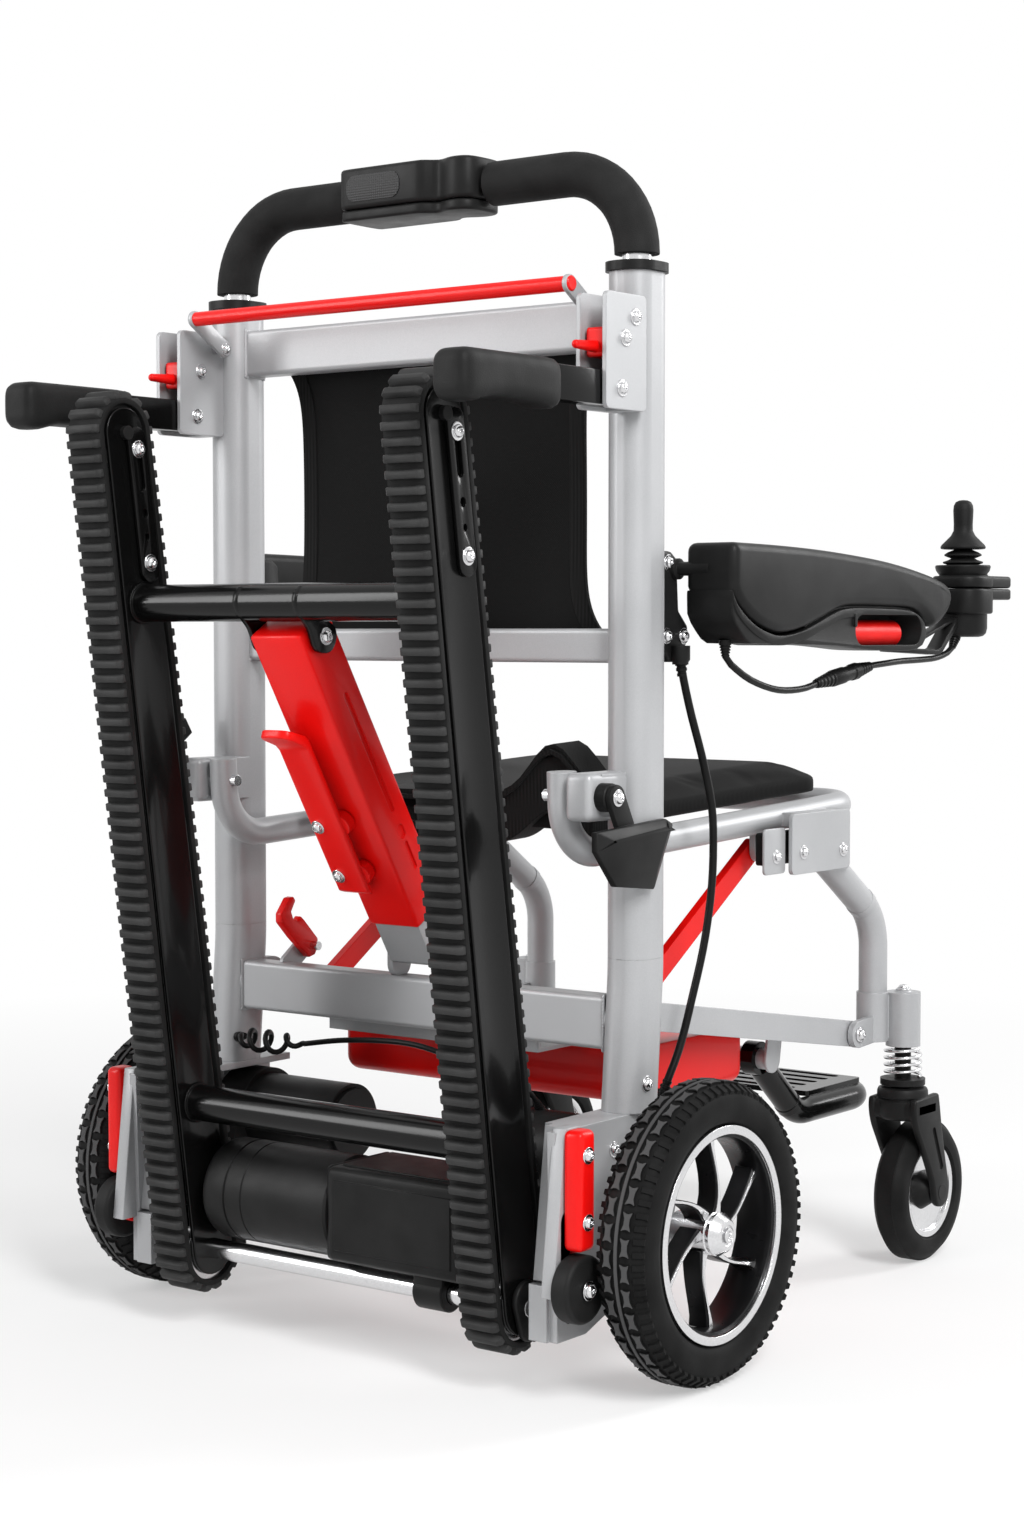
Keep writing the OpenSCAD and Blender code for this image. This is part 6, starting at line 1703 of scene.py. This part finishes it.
# %% Strut handle
handle_line = ((-31, 84), (-37, 90), (-37, 237), (-39, 243), (-55, 262), (-50, 267), (-33, 250),
               (-31, 245))
pull = plate(strut_points(handle_line), -32, 2)
pick(pull, "EDGE", lambda p, d: d.length < 0.009 and abs(d.x) < 0.0001 and p.z > 0.5365)
bpy.ops.mesh.bevel(offset=0.010, segments=6, affect="EDGES")
done()
soften(pull, 0.0016, 3, 30)
pull_parts = [pull]
strut_way = Vector((0, STRUT_OUT.x, STRUT_OUT.y))
boss_points = ((-33, 0), (-33, 10.5), (-24.6, 10.5), (-22.6, 8.8), (-22.6, 0))
for t in (106, 158):
    foot = strut_points(((0, t),))[0]
    pull_parts.append(lathe(boss_points, spot(-3, foot.x, foot.y), 32, strut_way, (1, 0, 0)))
finished(join(pull_parts), "strut_pull", "strut_slide", red_coat, "strut_lever")

# %% [markdown]
# A small red hook on the low cross bar holds the folded seat. It is a flat plate with a raised tip
# and a notch behind it.

# %% Fold hook
hook_line = ((40, 328), (36, 321), (28, 319), (4, 340), (-11, 355), (-11, 363), (0, 377), (6, 378),
             (9, 374), (3, 364), (6, 357), (12, 355), (16, 359), (21, 355), (40, 336))
hook_plate = plate(hook_line, -167, -159)
soften(hook_plate, 0.0012, 2, 30)
finished(hook_plate, "hook_plate", "hook", red_coat, "fold_hook")

# %% [markdown]
# A red arm on each wheel bracket carries a stair roller: a bar with well rounded edges above and a
# flat tongue below, through which the roller's pin passes.

# %% Roller arms
ROLLER_Y = -121
ROLLER_Z = 97
arm_bar = block(0.0186, 0.022, 0.098, spot(258.7, -120, 177))
soften(arm_bar, 0.0056, 5, 50)
tongue = plate(link_line(ROLLER_Y, ROLLER_Z, ROLLER_Y, 150, 12), 240.4, 249)
soften(tongue, 0.0012, 2, 40)
roller_pin_line = ((240.4, 0), (240.4, 5), (268, 5), (268.4, 4), (268.4, 0))
roller_pin = lathe(roller_pin_line, spot(0, ROLLER_Y, ROLLER_Z), 24)
roller_bars = both(join([arm_bar, tongue, roller_pin]))
finished(roller_bars, "roller_bars", "frame", red_coat, "roller_arms")
roller_flange = plate(((-106, 226), (-126, 226), (-142, 90), (-122, 90)), 236, 249)
soften(roller_flange, 0.0012, 2, 40)
finished(both(roller_flange), "roller_flanges", "frame", silver_coat)

# %% [markdown]
# The push handle wears two foam sleeves, one round each bend. A line along the tube's middle is given
# a round section, and its cut ends are softened a little.

# %% Foam sleeves
BEND_X = 154
BEND_Z = 938
BEND_R = 72
sleeve_line = [(BEND_X + BEND_R, BEND_Z - 1)]
for k in range(15):
    turn = math.radians(90 * k / 14)
    sleeve_line.append((BEND_X + BEND_R * math.cos(turn), BEND_Z + BEND_R * math.sin(turn)))
sleeve_line.append((76, BEND_Z + BEND_R))
foam_right = meshed(wire("foam_sleeve", [spot(x, 6, z) for x, z in sleeve_line], 0.019, 10))
face_out(foam_right)
soften(foam_right, 0.0045, 4, 60)
foam_sleeves = both(foam_right)
finished(foam_sleeves, "foam_sleeves", "handle", foam, "handle_foam")

# %% [markdown]
# The battery hangs under the seat in a red case. Its upright and lower edges are well rounded, and
# three flat ribs show below it.

# %% Battery case
battery = block(0.350, 0.170, 0.0538, spot(0, 177, 230.9))
pick(battery, "EDGE", lambda p, d: abs(d.z) > 0.02 or p.z < 0.205)
bpy.ops.mesh.bevel(offset=0.014, segments=7, affect="EDGES")
done()
soften(battery, 0.0015, 2, 50)
ribs = []
for place in (-1, 0, 1):
    rib = block(0.06, 0.114, 0.006, spot(place * 102, 177, 204))
    soften(rib, 0.0012, 2, 50)
    ribs.append(rib)
finished(join([battery] + ribs), "battery_case", "frame", red_coat, "battery_box")

# %% [markdown]
# Plated screws hold the chair together: a washer and a domed head with a socket for the key. One
# screw is turned from a line of points, its socket is six-sided, and copies go to every place where
# the photograph shows one. Screws on the same body are joined, so that they move with it.

# %% One screw
def screw(head):
    """A socket screw along +X with a head of this radius, sitting on its washer at the origin."""
    shape = ((0, 0), (0, 1.45), (0.16, 1.45), (0.22, 1.38), (0.22, 1.02), (0.42, 1), (0.75, 0.86),
             (0.92, 0.62), (0.94, 0.5))
    dome = lathe([(a * head, r * head) for a, r in shape], (0, 0, 0), 24)
    size = head * MM
    socket = start(bpy.ops.mesh.primitive_cylinder_add, vertices=6, radius=0.5 * size, depth=0.5 * size,
                   end_fill_type="NGON", rotation=(0, math.radians(90), 0), location=(0.69 * size, 0, 0))
    settle()
    pick(socket, "FACE", lambda p, n: n.x > 0.9)
    bpy.ops.mesh.inset(thickness=0.12 * size)
    extrude((-0.4 * size, 0, 0))
    done()
    return join([dome, socket])


TURN_OUT = {"+x": Matrix.Identity(4), "-x": Matrix.Rotation(math.pi, 4, "Z"),
            "-y": Matrix.Rotation(-math.pi / 2, 4, "Z"), "+z": Matrix.Rotation(-math.pi / 2, 4, "Y")}
strut_tip = math.atan2(STRUT_OUT.y, STRUT_OUT.x)
TURN_OUT["back"] = Matrix.Rotation(strut_tip, 4, "X") @ TURN_OUT["-y"]


def screws(name, body, head, places, mirror=True):
    """Screws of one size at drawing points, each facing along a named direction."""
    seats = [Matrix.Translation(spot(x, y, z)) @ TURN_OUT[way] for x, y, z, way in places]
    piece = stamp(screw(head), seats)
    if mirror:
        piece = both(piece)
    return finished(piece, name, body, bright_steel)


def on_track(x, a, b, way):
    """A point of the track's own frame as a drawing point."""
    p = TRACK @ Vector((0, a * MM, b * MM))
    return (x, p.y / MM + AXLE_BACK, p.z / MM, way)


# %% Screws by body
screws("screws_track", "track", 5.2, [
    on_track(197.4, SLOT_AT, 716, "+x"), on_track(197.4, SLOT_AT, 618, "+x"),
    on_track(151.6, SLOT_AT, 716, "-x"), on_track(151.6, SLOT_AT, 618, "-x"),
    on_track(200, 0, 0, "+x"), (35.4, -170, 620, "+x")])
screws("screws_frame", "frame", 4.8, [
    (252, -48, 862, "+x"), (252, -53, 821, "+x"), (252, -34, 880, "+x"), (222, -48, 862, "-x"),
    (222, -53, 821, "-x"), (268, ROLLER_Y, 206, "+x"), (268, ROLLER_Y, 152, "+x"),
    (240, 20, 196, "+x"), (240, 20, 60, "+x"), (240, -45, 196, "+x"), (246, -6, 246, "+x"),
    (233.6, 42, 682, "+x"), (233.6, 40, 620, "+x"), (233.6, 66, 620, "+x")])
screws("screws_roller", "frame", 5.6, [(268.6, ROLLER_Y, ROLLER_Z, "+x")])
screws("screws_cover", "track", 2.4, [on_track(200, 0, -17, "+x")])
screws("screws_release", "release", 4.2, [(207.6, -30, 883, "-x"), (207.6, -68, 907, "-x")])
screws("screws_seat", "seat", 4.6, [
    (217, 246, 418, "+x"), (223, 284, 420, "+x"), (223, 356, 418, "+x")])
screws("screws_hinge", "frame", 5.0, [(248.4, HINGE_Y, HINGE_Z, "+x")], mirror=False)
screws("screws_rails", "rails", 5.2, [(204, 27.7, 296.9, "+x")])
screws("screws_legs", "legs", 5.2, [(212, 410, 234, "+x"), (CASTER_X, STEM_Y, 273, "+z")])


def on_strut(x, n, t, way):
    """A point of the strut's own frame as a drawing point."""
    p = strut_points(((n, t),))[0]
    return (x, p.x, p.y, way)


screws("screws_lever", "strut_slide", 4.6, [
    on_strut(-24, -37, 106, "back"), on_strut(-24, -37, 158, "back")], mirror=False)
